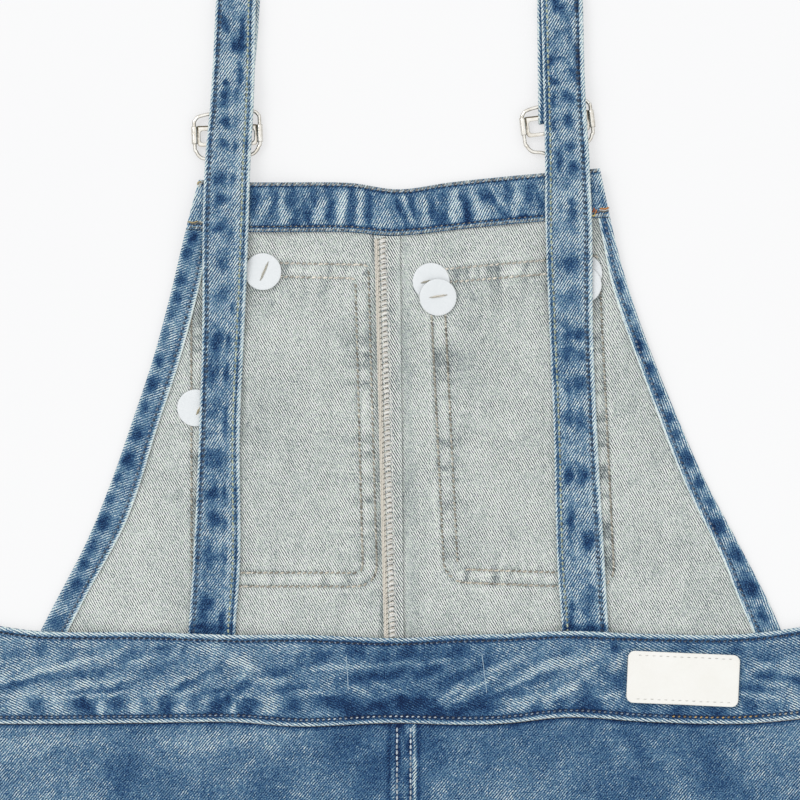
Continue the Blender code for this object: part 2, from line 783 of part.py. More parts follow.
def leg_loft(x, y, edge):
    """How far the folds lift the back panels off the front ones. They die out at a panel's edge."""
    lift = 0.0
    for fold in FOLDS:
        turn = math.radians(fold.turn)
        dx, dy = x - fold.x, y - fold.y
        along = dx * math.cos(turn) + dy * math.sin(turn)
        across = dy * math.cos(turn) - dx * math.sin(turn)
        lift += fold.height * math.exp(-((along / fold.length) ** 2) - (across / fold.width) ** 2)
    return min(MOST_LOFT, lift) * ease(edge / EDGE_FADE)


def leg_panel(face, side):
    """A seat and leg panel, from the waistband to the hem. Columns run from the outer edge to the inner one."""
    sign = {"left": -1, "right": 1}[side]
    seam = BACK_SEAM if face == "back" else 0.0
    fell = 0.975

    def lay(u, v):
        x_top = sign * lerp(BAND_END, GAP / 2, u)
        top = band_edge(x_top, "bottom") - GAP
        y = lerp(top, HEM, v)
        outer = curve(LEGS, "outer", y)
        inner = max(0.0, curve(LEGS, "inner", y)) + GAP / 2
        x = sign * lerp(outer, inner, u) + seam * ease((u - 0.5) * 2)
        hem = HEM_WALL * ease((HEM + HEM_TURN - y) / 2)
        if face == "front":
            return x, y, 0.0, PANEL_WALL + hem
        edge = min(outer - abs(x), abs(x) - inner + 12, top - y, y - HEM)
        low = PANEL_WALL + hem + GAP + leg_loft(x, y, edge)
        wall = PANEL_WALL + hem + FELL_WALL * ease((u - fell) * 400)
        return x, y, low, low + wall

    columns = stations(12)
    above_hem = 1 - (HEM_TURN + 2) / (-HEM - 48)
    rows = [share * above_hem for share in stations(16 if face == "front" else 24)] + [above_hem + 0.0025, 1.0]
    if face == "back":
        columns[-1:] = [fell, fell + 0.0025, 1.0]
    cloth(f"{face}_{side}", "denim", columns, rows, lay)


# ---------------------------------------------------------------- the whole garment


def main():
    clear_scene()
    bib_pockets()
    for side in ("left", "right"):
        bib_half(side)
    bib_seam()
    bib_top_facing()
    for side in ("left", "right"):
        bib_side_facing(side)
    backing_discs()
    waistband_front()
    for buckle in BUCKLES:
        strap(buckle.side, buckle)
        buckle_wire(buckle)
        buckle_slider(buckle)
        bib_button(buckle)
    waistband_back()
    label_patch()
    for face in ("front", "back"):
        for side in ("left", "right"):
            leg_panel(face, side)


main()
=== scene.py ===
import math
from collections import namedtuple
from functools import reduce

import bpy
import numpy as np
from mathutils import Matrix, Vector
from mathutils.bvhtree import BVHTree


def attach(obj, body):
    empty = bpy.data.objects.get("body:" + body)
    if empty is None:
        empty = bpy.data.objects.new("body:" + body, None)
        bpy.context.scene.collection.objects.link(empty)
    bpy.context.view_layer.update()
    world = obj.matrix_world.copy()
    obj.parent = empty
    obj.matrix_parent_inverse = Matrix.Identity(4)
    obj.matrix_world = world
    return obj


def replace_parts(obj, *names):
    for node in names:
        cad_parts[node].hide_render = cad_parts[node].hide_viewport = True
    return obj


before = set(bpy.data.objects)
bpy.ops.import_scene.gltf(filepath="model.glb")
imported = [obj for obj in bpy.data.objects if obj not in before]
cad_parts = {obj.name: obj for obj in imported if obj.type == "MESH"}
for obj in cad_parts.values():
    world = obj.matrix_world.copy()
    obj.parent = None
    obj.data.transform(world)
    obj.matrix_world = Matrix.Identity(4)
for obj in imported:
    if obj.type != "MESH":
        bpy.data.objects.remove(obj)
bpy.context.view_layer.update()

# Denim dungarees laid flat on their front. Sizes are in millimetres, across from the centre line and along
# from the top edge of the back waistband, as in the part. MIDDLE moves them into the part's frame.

MM = 0.001
BODY = "root"
SIGN = {"left": -1, "right": 1}  # of places across, on each side of the garment


def table_of(kind, *values):
    """A table whose rows are all of that kind, which names the columns."""
    return tuple(kind(*row) for row in values)


# ---------------------------------------------------------------- sizes shared with the part

GAP = 0.3
HEM = -1040.0
SHOULDER = 446.0
MIDDLE = -(HEM + SHOULDER) / 2

Side = namedtuple("Side", "y left right")
BIB_SIDES = table_of(
    Side,
    (-8, -204, 213), (19, -190, 201), (52, -173, 184), (85, -159.5, 166.5), (118, -148, 152),
    (151, -137, 138.5), (184, -128, 126.5), (217, -120, 117), (256, -110, 108.5),
)
Point = namedtuple("Point", "x y")
BIB_TOP = table_of(
    Point,
    (-112, 250), (-84, 248.6), (-30, 248.6), (-2, 245), (25, 248.6), (45, 250.8), (78, 253.6), (110, 256.3),
)
TOP_HEM = 27.0
FRONT_BAND_DROP = 5.0
BIB_SEAM = (Side(-6, -10, 1), Side(221, -15.5, -1))
FACINGS = table_of(  # how wide the two side facings are
    Side,
    (-8, 15.4, 15.8), (19, 15.2, 15.8), (41, 15.8, 13.4), (65, 17.0, 12.6), (107, 15.2, 11.0),
    (140, 15.0, 9.6), (195, 15.0, 8.6), (217, 15.0, 7.0), (256, 15.0, 6.6),
)

# foot and head are the slopes of a pocket's lower and upper edge, along its own width.
Pocket = namedtuple("Pocket", "side x y width height turn foot head")
POCKETS = (
    Pocket("left", -65.9, 115.6, 101.4, 179.4, 0.0, 0.0, -0.02),
    Pocket("right", 65.8, 116, 95, 179, 2.8, -0.09, 0.04),
)
POCKET_CORNER = 12.0
POCKET_TOP_CORNER = 1.5

# half is how far a buckle's sleeves are from its middle, and slide how far the wire has slid up through them.
Buckle = namedtuple("Buckle", "side x y turn half slide")
BUCKLES = (Buckle("left", -96, 275.2, 1.9, 17.9, 0.8), Buckle("right", 85.3, 281.6, 6.7, 18.9, -0.9))
WIRE = 1.9
WIRE_LEVEL = 3.3
WIRE_SKEW = 0.058
SKEW_RISE = 18.0
LOOP_RADIUS = 5.0
LOOP_MIDDLE = -39.0
Bend = namedtuple("Bend", "inside y")
WIRE_BENDS = table_of(
    Bend,
    (7.6, 11.0), (2.6, 10.2), (1.3, 9.3), (0.35, 8.0), (0, 7.0), (0, -6.9), (0.7, -8.7), (1.7, -10.8),
    (3.5, -12.5), (5.5, -13.2), (9.2, -14.2),
)
WIRE_TOP = 11.4
WIRE_NECK = table_of(Point, (6.6, -16.4), (5.4, -20.5), (5.0, -27))
SLEEVE_OUTER = 1.75
SLEEVE_BORE = 1.25
SLEEVE_LENGTH = 9.6
PLATE_TOP = 5.0
PLATE_BOTTOM = -6.4
PLATE_CORNERS = (1.8, 1.8, 0.6, 0.6)
OPENING_INSET = 3.2
OPENING_TOP = 2.3
OPENING_BOTTOM = -4.4
OPENING_CORNERS = (1.6,) * 4

Strap = namedtuple("Strap", "y back front width")
STRAPS = {
    "left": table_of(
        Strap,
        (-12, -104.9, 0, 26.2), (4, -104.2, 0, 26), (41, -101.7, 0, 26), (113, -100.1, 0, 22.6),
        (173, -97.9, 0, 23.4), (223, -96.6, -97, 25.2), (261, -95.4, -96, 25), (294, -93, -93.4, 23.8),
        (349, -91, -89.1, 22.2), (SHOULDER, -87.2, -87.2, 22.2),
    ),
    "right": table_of(
        Strap,
        (-12, 101.2, 0, 25.4), (4, 100.6, 0, 25.6), (41, 98.2, 0, 26.2), (113, 95.2, 0, 24),
        (173, 92.7, 0, 24.2), (223, 91.4, 86, 25.7), (261, 90.5, 86, 24.4), (294, 89.1, 85.8, 23),
        (349, 87.7, 85.3, 23), (SHOULDER, 85, 85, 22.5),
    ),
}
STRAP_WALL = 2.0
FRONT_RUN_WIDTH = 22.0
STRAP_END = -12.0
SHOULDER_BEND = 2.0
SLIDER_BEND = 2.3
LOOP_SHIFT = 3.2
SKEW_FADE = 55.0
Level = namedtuple("Level", "y z")
FRONT_RUN = table_of(Level, (0, 5.6), (14.5, 5.6), (28, 3.35), (56, 3.35), (68, 1.0), (200, 1.0))
TAIL = 56.0

BAND_END = 235.0
Band = namedtuple("Band", "x top bottom")
BAND = table_of(
    Band,
    (-BAND_END, 7.5, -48.5), (-199, 2.4, -48.5), (-139, 1.9, -48), (-92, 0.5, -47.5), (-56, 0.5, -50),
    (-6, -1.3, -48), (32, 0.3, -49), (56, 0.9, -48.3), (92, 2.6, -44.8), (136, 0.9, -47.5),
    (186, 0.8, -48.4), (BAND_END, 6.8, -44),
)
PATCH = Point(154.2, -23.7)
PATCH_WIDTH = 61.5
PATCH_HEIGHT = 28.5
PATCH_CORNER = 3.6
PATCH_TURN = -2.5

Leg = namedtuple("Leg", "y outer inner")
LEGS = table_of(
    Leg,
    (HEM, 255, 45), (-820, 253, 35.5), (-600, 253, 25), (-450, 254.5, 15), (-360, 255, 6), (-325, 255, 1.2),
    (-300, 255, 0), (-200, 255, 0), (-110, 247, 0), (-40, 235, 0),
)
CROTCH = -325.0
BACK_SEAM = 1.0
PANEL_WALL = 1.2
HEM_TURN = 18.0
HEM_WALL = 0.9
FELL_WALL = 0.8
FELL_SHARE = 0.975
EDGE_FADE = 34.0
MOST_LOFT = 3.2
Fold = namedtuple("Fold", "x y length width height turn")
FOLDS = table_of(
    Fold,
    (-118, -92, 60, 26, 1.4, 12), (120, -100, 66, 28, 1.3, -14), (-60, -250, 90, 16, 2.2, -38),
    (-105, -305, 95, 18, 2.0, -20), (62, -262, 84, 15, 2.3, 36), (112, -318, 100, 19, 1.9, 22),
    (-150, -430, 130, 26, 1.8, 74), (138, -455, 120, 24, 2.0, 98), (-110, -610, 84, 15, 2.6, 14),
    (-165, -655, 70, 14, 2.2, -12), (120, -600, 80, 14, 2.5, -16), (172, -662, 74, 15, 2.1, 10),
    (-140, -800, 120, 22, 1.9, 86), (160, -835, 125, 22, 1.8, 95), (-150, -950, 66, 16, 1.7, 20),
    (148, -965, 70, 15, 1.8, -18),
)

# ---------------------------------------------------------------- looks

# Fades: a worn mark on the cloth, dark where its value is below 0 and pale above.
Fade = namedtuple("Fade", "x y length width turn wear")

TOP_HEM_FADES = table_of(
    Fade,
    (-81.5, 239, 9, 3.2, 84, -0.9), (-75.5, 233, 12, 2.4, 62, 0.6), (-70.3, 240, 6, 3.0, 92, -0.8),
    (-73, 230, 6, 4.4, 60, -0.35), (-66, 238, 9, 1.8, 88, 0.6), (-61.5, 240, 6, 3.6, 90, -0.8),
    (-58.5, 229, 7, 3.2, 96, -0.7), (-63.5, 228, 8, 2.6, 62, 0.5), (-48.2, 241, 5, 2.9, 90, -0.85),
    (-51, 229, 8, 2.4, 108, -0.9), (-45.5, 231, 9, 2.6, 66, 0.75), (-39.5, 235, 13, 2.9, 93, -0.85),
    (-33, 234, 13, 2.4, 84, 0.9), (-27.6, 235, 13, 2.5, 90, -0.8), (-22.6, 235, 12, 1.6, 84, 0.65),
    (-18.3, 235, 13, 2.3, 90, -1.0), (-12, 229, 9, 5, 80, 0.35), (-4, 233, 3, 7, 90, -0.2),
    (-0.2, 232, 12, 1.5, 112, -0.95), (3.6, 234, 12, 1.5, 112, 0.9), (6.3, 233, 11, 2.6, 100, -0.8),
    (12.5, 231, 10, 1.8, 92, 0.55), (15.8, 237, 8, 2.1, 92, -0.75), (22.8, 240, 5, 2.6, 92, -0.5),
    (21.5, 229, 5, 4.6, 95, -0.85), (28.3, 234, 11, 2.9, 88, 0.85), (34.2, 238, 8, 2.7, 104, -0.8),
    (37, 229, 6, 2.9, 104, -0.9), (40.5, 239, 7, 2.0, 112, 0.6), (45.5, 241, 4, 4.2, 90, -0.7),
    (43.5, 230, 6, 4.6, 60, 0.6), (55.5, 233, 10, 2.0, 126, -0.9), (53.5, 238, 10, 1.7, 120, 0.8),
    (58, 243, 7, 2.3, 94, -0.75), (63, 238, 10, 2.6, 84, 0.6), (67.5, 229, 3, 3.6, 90, -0.7),
    (70, 243, 7, 2.7, 80, -0.6), (76, 236, 9, 1.9, 100, -0.6), (103, 246, 4, 3.4, 90, -0.55),
    (-111, 236, 3.6, 2.6, 90, -0.45),
)
BAND_FADES = table_of(
    Fade,
    # the row of ovals along the lower edge, from the left
    (-222, -37, 4.0, 4.4, 90, -0.3), (-200.8, -38.6, 4.8, 4.4, 84, -0.8), (-177, -37, 5.0, 5.0, 100, -0.95),
    (-171.5, -40.5, 4.6, 4.4, 70, -0.85), (-156.8, -37.0, 4.4, 4.6, 60, -0.85),
    (-140, -38.5, 4.0, 3.0, 84, -0.35), (-129.8, -38.4, 6.0, 4.6, 74, -0.85),
    (-113.5, -37, 5.0, 2.6, 80, -0.45), (-101.2, -39.2, 6.4, 4.8, 84, -0.9),
    (-95, -35.5, 3.4, 2.4, 90, -0.7), (-85.5, -39.4, 5.2, 5.0, 96, -0.85), (-80, -36, 3.4, 3.0, 90, -0.6),
    (-59.4, -38.2, 4.4, 4.8, 90, -0.65), (-34.5, -37.0, 13, 5.2, 172, -1.0), (-25, -42, 7, 3.0, 0, -0.6),
    (-11.5, -38.6, 8.4, 4.8, 166, -0.95), (-2, -35.0, 6, 4.0, 130, -0.6), (4.4, -38.5, 5.6, 6.4, 70, -0.95),
    (15.4, -38.6, 8, 5.4, 150, -0.85), (27, -42, 7, 2.4, 0, -0.5), (41.5, -36.5, 15, 4.0, 25, -0.9),
    (49, -40, 8, 3.2, 10, -0.7), (62, -32.0, 7, 1.8, 6, -0.5), (73.5, -39.5, 5.4, 3.0, 80, -0.5),
    (87, -38.5, 5.0, 4.4, 90, -0.6), (99.5, -37.4, 4.8, 4.8, 84, -0.9), (107, -38.4, 4.4, 4.2, 90, -0.85),
    (122, -40.0, 6, 3.4, 20, -0.45), (134, -38.8, 4.8, 3.0, 0, -0.6), (152, -41.4, 7, 2.6, 8, -0.75),
    (172, -41.8, 7, 2.6, 0, -0.8), (191.4, -38, 5.0, 4.4, 120, -0.75), (203, -38, 4.4, 3.0, 100, -0.3),
    # creases above them
    (-88, -28.2, 9, 2.8, 34, -0.75), (-62, -29.4, 9, 2.2, 12, -0.7), (-105, -30.6, 11, 2.0, 4, -0.5),
    (-121.8, -29.4, 9, 2.4, 26, -0.7), (-160, -30.2, 12, 1.7, 6, -0.55), (-178, -30.8, 10, 1.6, 10, -0.4),
    (-200, -24.6, 22, 2.8, 12, -0.6), (-216, -28.0, 10, 2.0, 16, -0.6), (-166, -20.0, 18, 2.6, 12, -0.5),
    (-146, -24, 15, 2.4, 20, -0.5), (-132, -16.0, 14, 1.8, 14, -0.3), (-112, -22.4, 14, 2.2, 22, -0.45),
    (-100, -14.4, 8, 3.6, 80, -0.35), (-68, -20.4, 12, 3.4, 6, -0.5), (-45, -11.6, 7, 4.4, 20, -0.6),
    (-56, -13.0, 5, 2.4, 70, -0.4), (-131, -8.6, 5.4, 3.0, 20, -0.7), (-119.6, -7.6, 3, 2.2, 90, -0.75),
    (-151, -11, 6, 3.4, 30, -0.4), (-184, -10, 6, 3.4, 60, -0.4), (-171, -8.6, 4.4, 3.0, 80, -0.4),
    (-199, -8.6, 5, 3.6, 70, -0.5), (-214, -10.0, 6, 2.6, 20, -0.35), (-25, -9.4, 6.5, 4.4, 0, -0.65),
    (-10, -11.8, 5, 4.0, 70, -0.55), (3, -9.4, 6, 3.8, 0, -0.7), (14, -11.4, 5, 3.6, 80, -0.5),
    (-20, -23, 14, 3.0, 8, -0.7), (-2, -20.6, 8, 2.6, 24, -0.6), (14, -19.4, 10, 4, 16, -0.6),
    (30, -8.4, 8, 4.0, 10, -0.6), (30, -23.4, 13, 3.0, 22, -0.5), (46, -14.0, 7, 3.0, 60, -0.4),
    (62, -19.6, 9, 2.4, 24, -0.35), (76, -23.4, 15, 2.2, 20, -0.4), (88, -10.6, 9, 3.4, 16, -0.3),
    (101, -28.4, 8, 3.0, 120, -0.4), (117.2, -6.4, 3.4, 3.0, 90, -0.8), (119.8, -24.4, 5, 4.4, 90, -0.55),
    (111, -20.4, 9, 2.4, 130, -0.4), (157, -6.4, 10, 1.8, 0, -0.55), (184, -7.4, 5.4, 3.0, 176, -0.6),
    (200, -12, 9, 3.4, 170, -0.35), (199, -22.8, 6.4, 2.8, 176, -0.6), (193, -29.0, 9, 1.8, 174, -0.6),
    (216.8, -24.4, 6, 2.4, 170, -0.7), (221, -9, 8, 3.0, 176, -0.4),
    # worn lines
    (-214, -33.0, 16, 1.4, 4, 0.35), (-170, -32.6, 24, 1.2, 3, 0.6), (-128, -32.2, 20, 1.3, 2, 0.5),
    (-84, -33.6, 18, 1.3, 174, 0.45), (-46, -31.2, 18, 1.2, 176, 0.6), (-20, -31.4, 12, 1.2, 152, 0.5),
    (-165.4, -40.0, 4.4, 1.6, 84, 0.8), (-147, -39.4, 5, 2.6, 90, 0.5), (-120.4, -38.8, 5, 2.2, 84, 0.45),
    (-92.6, -41.0, 4.4, 1.5, 92, 0.8), (-72, -39.4, 5, 3.2, 90, 0.5), (-190, -38, 5, 3.4, 90, 0.5),
    (-212, -38, 5, 3.6, 90, 0.35), (-196, -19.6, 24, 1.5, 16, 0.6), (-222, -24.6, 10, 1.4, 34, 0.5),
    (-160, -25.2, 20, 1.4, 10, 0.55), (-140, -12.6, 18, 1.6, 16, 0.5), (-180, -15, 22, 1.8, 10, 0.4),
    (-122, -25.4, 16, 1.6, 24, 0.5), (-102, -8.6, 8, 4.4, 90, 0.45), (-88, -15, 14, 2.0, 158, 0.5),
    (-76, -24.6, 16, 1.6, 172, 0.5), (-86, -20.2, 5, 4.0, 60, 0.4), (-62, -7.6, 9, 2.4, 0, 0.35),
    (-38, -17.4, 16, 1.5, 3, 0.55), (-12, -16.0, 14, 1.4, 6, 0.45), (16, -15.0, 13, 1.4, 10, 0.5),
    (-8, -28.6, 14, 1.6, 160, 0.4), (26, -32.4, 9, 2.0, 40, 0.55), (40, -29.0, 16, 1.4, 30, 0.55),
    (60, -27.0, 18, 1.6, 24, 0.6), (50, -18.4, 14, 2.0, 22, 0.4), (66, -37.4, 10, 3.4, 20, 0.4),
    (80, -16, 18, 2.6, 18, 0.5), (96, -14.6, 12, 2.4, 22, 0.5), (88, -30.6, 12, 2.4, 30, 0.5),
    (101, -22.0, 12, 2.0, 40, 0.5), (113, -33.8, 8, 1.5, 0, 0.45), (118, -14.4, 6, 3.0, 60, 0.4),
    (197, -33.4, 16, 1.6, 176, 0.5), (204, -26.4, 14, 1.4, 172, 0.4), (204, -17, 14, 2.0, 168, 0.4),
    (216, -38.4, 7, 3.6, 90, 0.45), (226, -30.4, 8, 2.4, 10, 0.4),
)

Finish = namedtuple("Finish", "ramp contrast least grain mottle dash cloud wobble slub rough bump")
# Each ramp runs from the darkest dye to bare cotton, as sRGB in 0 to 255.
DENIM_RAMP = (
    (0.0, (8, 30, 66)),
    (0.22, (31, 70, 113)),
    (0.45, (79, 117, 146)),
    (0.68, (138, 167, 185)),
    (1.0, (230, 241, 237)),
)
INSIDE_RAMP = (
    (0.0, (58, 68, 76)),
    (0.3, (130, 139, 141)),
    (0.55, (187, 196, 191)),
    (0.8, (220, 227, 219)),
    (1.0, (246, 248, 242)),
)
LEATHER_RAMP = ((0.0, (226, 223, 213)), (0.5, (240, 238, 231)), (1.0, (248, 247, 243)))
BACKING_RAMP = ((0.0, (214, 219, 222)), (1.0, (240, 243, 244)))
# The dark first stop is reached where painted shade lowers the metal's tone: the wire's sides, the plate's
# rims and the sleeves' ends.
NICKEL_RAMP = ((0.0, (112, 104, 88)), (0.3, (222, 215, 202)), (0.6, (250, 247, 240)))
FACE = Finish(DENIM_RAMP, 0.58, 0.19, 1.2, 0.32, 0.36, 0.14, 0.7, 0.0, 0.9, 0.9)
SOFT = Finish(DENIM_RAMP, 0.46, 0.17, 1.15, 0.26, 0.3, 0.14, 0.7, 0.0, 0.9, 0.9)
WRONG = Finish(INSIDE_RAMP, 0.66, 0.1, 0.95, 0.12, 0.42, 0.1, 0.6, 0.12, 0.92, 0.8)

Weave = namedtuple("Weave", "finish turn period")
WEAVES = {
    "strap": Weave(FACE, 58, 1.27),
    "leg": Weave(FACE, 50, 1.27),
    "leg_inside": Weave(WRONG, 130, 1.2),
    "front": Weave(FACE, 126, 1.27),
    "band": Weave(FACE, 154, 1.29),
    "top_hem": Weave(FACE, 62, 1.27),
    "facing_left": Weave(SOFT, 20, 1.27),
    "facing_right": Weave(SOFT, 111, 1.27),
    "bib_inside": Weave(WRONG, 120, 1.19),
    "bib_face": Weave(FACE, 60, 1.27),
    "pocket": Weave(FACE, 60, 1.27),
}

THREADS = {  # sRGB
    "tan": (176, 158, 112),
    "sand": (200, 196, 182),
    "rust": (198, 190, 174),
    "bark": (172, 168, 154),
    "umber": (116, 116, 108),
    "olive": (184, 194, 168),
    "moss": (66, 84, 104),
    "plum": (84, 100, 122),
    "gold": (204, 170, 104),
    "orange": (196, 128, 66),
    "brown": (118, 131, 148),
    "navy": (24, 42, 66),
    "slate": (150, 166, 182),
    "frost": (200, 211, 218),
    "ash": (152, 158, 158),
    "cream": (228, 221, 208),
    "milk": (236, 235, 230),
    "yellow": (214, 196, 120),
    "ember": (168, 92, 56),
    "grey": (150, 146, 138),
    "pearl": (212, 210, 205),
}
TINTS = ((0.98, 1.08, 0.93), (1.03, 0.92, 1.08))  # what a cloth's colour is multiplied by at its two extremes
MIX_FIRST, MIX_SECOND, MIX_RESULT = 6, 7, 2  # the colour sockets of a mix node
WALE_APART = 5.3  # how far apart in the noise the wales are, so that each has dashes of its own
DASH_LENGTH = 4.0
PICKS = 7.4  # weft threads, in radians a millimetre
STITCH = 3.1
THREAD = 0.62
TACK_RADIUS = 0.2
EXPOSURE = 1.46  # how bright the lights make a white card that lies flat
ZENITH = 1.32  # how bright the sky is overhead, which is what metal that faces up mirrors


def lerp(start, end, share):
    return start + (end - start) * share


def ease(share):
    share = np.clip(share, 0.0, 1.0)
    return share * share * (3 - 2 * share)


def curve(table, column, at):
    """A smooth curve through a column of the table, whose rows are placed by their first column."""
    at = np.asarray(at, float)
    places = np.array([row[0] for row in table], float)
    values = np.array([getattr(row, column) for row in table], float)
    low = np.maximum(np.arange(len(table)) - 1, 0)
    high = np.minimum(np.arange(len(table)) + 1, len(table) - 1)
    slopes = (values[high] - values[low]) / (places[high] - places[low])
    first = np.clip(np.searchsorted(places, at, side="right") - 1, 0, len(table) - 2)
    step = places[first + 1] - places[first]
    share = (at - places[first]) / step
    share_2, share_3 = share**2, share**3
    return (
        (2 * share_3 - 3 * share_2 + 1) * values[first]
        + (share_3 - 2 * share_2 + share) * step * slopes[first]
        + (3 * share_2 - 2 * share_3) * values[first + 1]
        + (share_3 - share_2) * step * slopes[first + 1]
    )


def level(table, at):
    """A height that eases from row to row and holds its first and last values."""
    at = np.asarray(at, float)
    places = np.array([row.y for row in table], float)
    heights = np.array([row.z for row in table], float)
    first = np.clip(np.searchsorted(places, at, side="right") - 1, 0, len(table) - 2)
    share = (at - places[first]) / (places[first + 1] - places[first])
    return lerp(heights[first], heights[first + 1], ease(share))


def linear(colour, brightness=EXPOSURE):
    """The linear values a shader takes, for it to look like an sRGB colour in 0 to 255 under the lights."""
    share = np.array(colour, float) / 255
    return np.where(share <= 0.04045, share / 12.92, ((share + 0.055) / 1.055) ** 2.4) / brightness


def noise(x, y, size, seed):
    """Smooth seeded noise from -1 to 1, with lumps of about that size."""
    cells = 97
    lattice = np.random.default_rng(seed).uniform(-1, 1, (cells, cells))
    across, along = np.asarray(x) / size, np.asarray(y) / size
    column, row = np.floor(across).astype(int), np.floor(along).astype(int)
    across, along = ease(across - column), ease(along - row)

    def at(dx, dy):
        return lattice[(column + dx) % cells, (row + dy) % cells]

    near = lerp(at(0, 0), at(1, 0), across)
    far = lerp(at(0, 1), at(1, 1), across)
    return lerp(near, far, along)


def turned(x, y, turn):
    angle = math.radians(turn)
    return x * math.cos(angle) + y * math.sin(angle), y * math.cos(angle) - x * math.sin(angle)


def streaks(x, y, length, width, turn, seed):
    along, across = turned(x, y, turn)
    return noise(along / length, across / width, 1.0, seed)


def faded(x, y, table, sharp=1.5):
    """What the marks of a table add to the cloth's tone at each place. Their outlines waver a little."""
    x, y = x + 0.9 * noise(x, y, 2.7, 41), y + 0.9 * noise(x, y, 2.7, 42)
    total = np.zeros(np.shape(x))
    for fade in table:
        along, across = turned(x - fade.x, y - fade.y, fade.turn)
        away = (along / fade.length) ** 2 + (across / fade.width) ** 2
        total += fade.wear * np.exp(-(away**sharp))
    return total


def near(distance, width):
    return np.exp(-((distance / width) ** 2))


# ---------------------------------------------------------------- finishes


class Tree:
    """The nodes of a material or world. Each method adds one or more and gives the last one's output."""

    def __init__(self, owner, shader="Principled BSDF"):
        owner.use_nodes = True
        self.owner, self.tree = owner, owner.node_tree
        self.shader = self.tree.nodes[shader]

    def put(self, value, socket):
        """Links an output to a socket, or sets the socket to a value."""
        if isinstance(value, bpy.types.NodeSocket):
            self.tree.links.new(value, socket)
        else:
            socket.default_value = value

    def add(self, kind, output, inputs, **settings):
        node = self.tree.nodes.new(kind)
        for key, value in settings.items():
            setattr(node, key, value)
        for key, value in inputs.items():
            self.put(value, node.inputs[key])
        return node.outputs[output]

    def set(self, **inputs):
        for key, value in inputs.items():
            self.put(value, self.shader.inputs[key.replace("_", " ")])

    def math(self, operation, *values):
        return self.add("ShaderNodeMath", 0, dict(enumerate(values)), operation=operation)

    def plus(self, *values):
        return reduce(lambda first, second: self.math("ADD", first, second), values)

    def times(self, *values):
        return reduce(lambda first, second: self.math("MULTIPLY", first, second), values)

    def less(self, value, amount):
        return self.math("SUBTRACT", value, amount)

    def at_least(self, value, least):
        return self.math("MAXIMUM", value, least)

    def within(self, value, least, most):
        return self.math("MINIMUM", self.at_least(value, least), most)

    def attribute(self, name, output="Fac"):
        return self.add("ShaderNodeAttribute", output, {}, attribute_name=name)

    def place(self):
        return self.add("ShaderNodeTexCoord", "Object", {})

    def stretched(self, place, scale):
        return self.add("ShaderNodeMapping", 0, {"Vector": place, "Scale": scale})

    def point(self, x, y, z):
        return self.add("ShaderNodeCombineXYZ", 0, {0: x, 1: y, 2: z})

    def noise(self, vector, scale, detail=1.0, roughness=0.5):
        inputs = {"Vector": vector, "Scale": scale, "Detail": detail, "Roughness": roughness}
        return self.add("ShaderNodeTexNoise", "Fac", inputs)

    def spread(self, value, amount):
        """A noise value as a change of -amount/2 to amount/2."""
        return self.times(self.less(value, 0.5), amount)

    def varied(self, amount, *noise):
        return self.spread(self.noise(*noise), amount)

    def ramp(self, value, stops):
        node = self.tree.nodes.new("ShaderNodeValToRGB")
        elements = node.color_ramp.elements
        while len(elements) < len(stops):
            elements.new(0.5)
        for element, (position, colour) in zip(elements, stops):
            element.position = position
            element.color = (*colour, 1.0)
        self.put(value, node.inputs["Fac"])
        return node.outputs["Color"]

    def dyed(self, value, stops, brightness=EXPOSURE):
        """A ramp whose colours are sRGB in 0 to 255."""
        return self.ramp(value, [(position, linear(colour, brightness)) for position, colour in stops])

    def scaled(self, colour, amount):
        return self.add("ShaderNodeVectorMath", 0, {0: colour, "Scale": amount}, operation="SCALE")

    def tinted(self, colour, place):
        """The colour, which drifts a little between greenish and violet from place to place."""
        green, violet = ((*tint, 1.0) for tint in TINTS)
        inputs = {0: self.noise(place, 0.5, 3.0, 0.7), MIX_FIRST: green, MIX_SECOND: violet}
        tint = self.add("ShaderNodeMix", MIX_RESULT, inputs, data_type="RGBA")
        return self.add("ShaderNodeVectorMath", 0, {0: colour, 1: tint}, operation="MULTIPLY")

    def bump(self, height, distance, strength=1.0):
        inputs = {"Height": height, "Distance": distance * MM, "Strength": strength}
        self.set(Normal=self.add("ShaderNodeBump", "Normal", inputs))


def material(name):
    return Tree(bpy.data.materials.new(name))


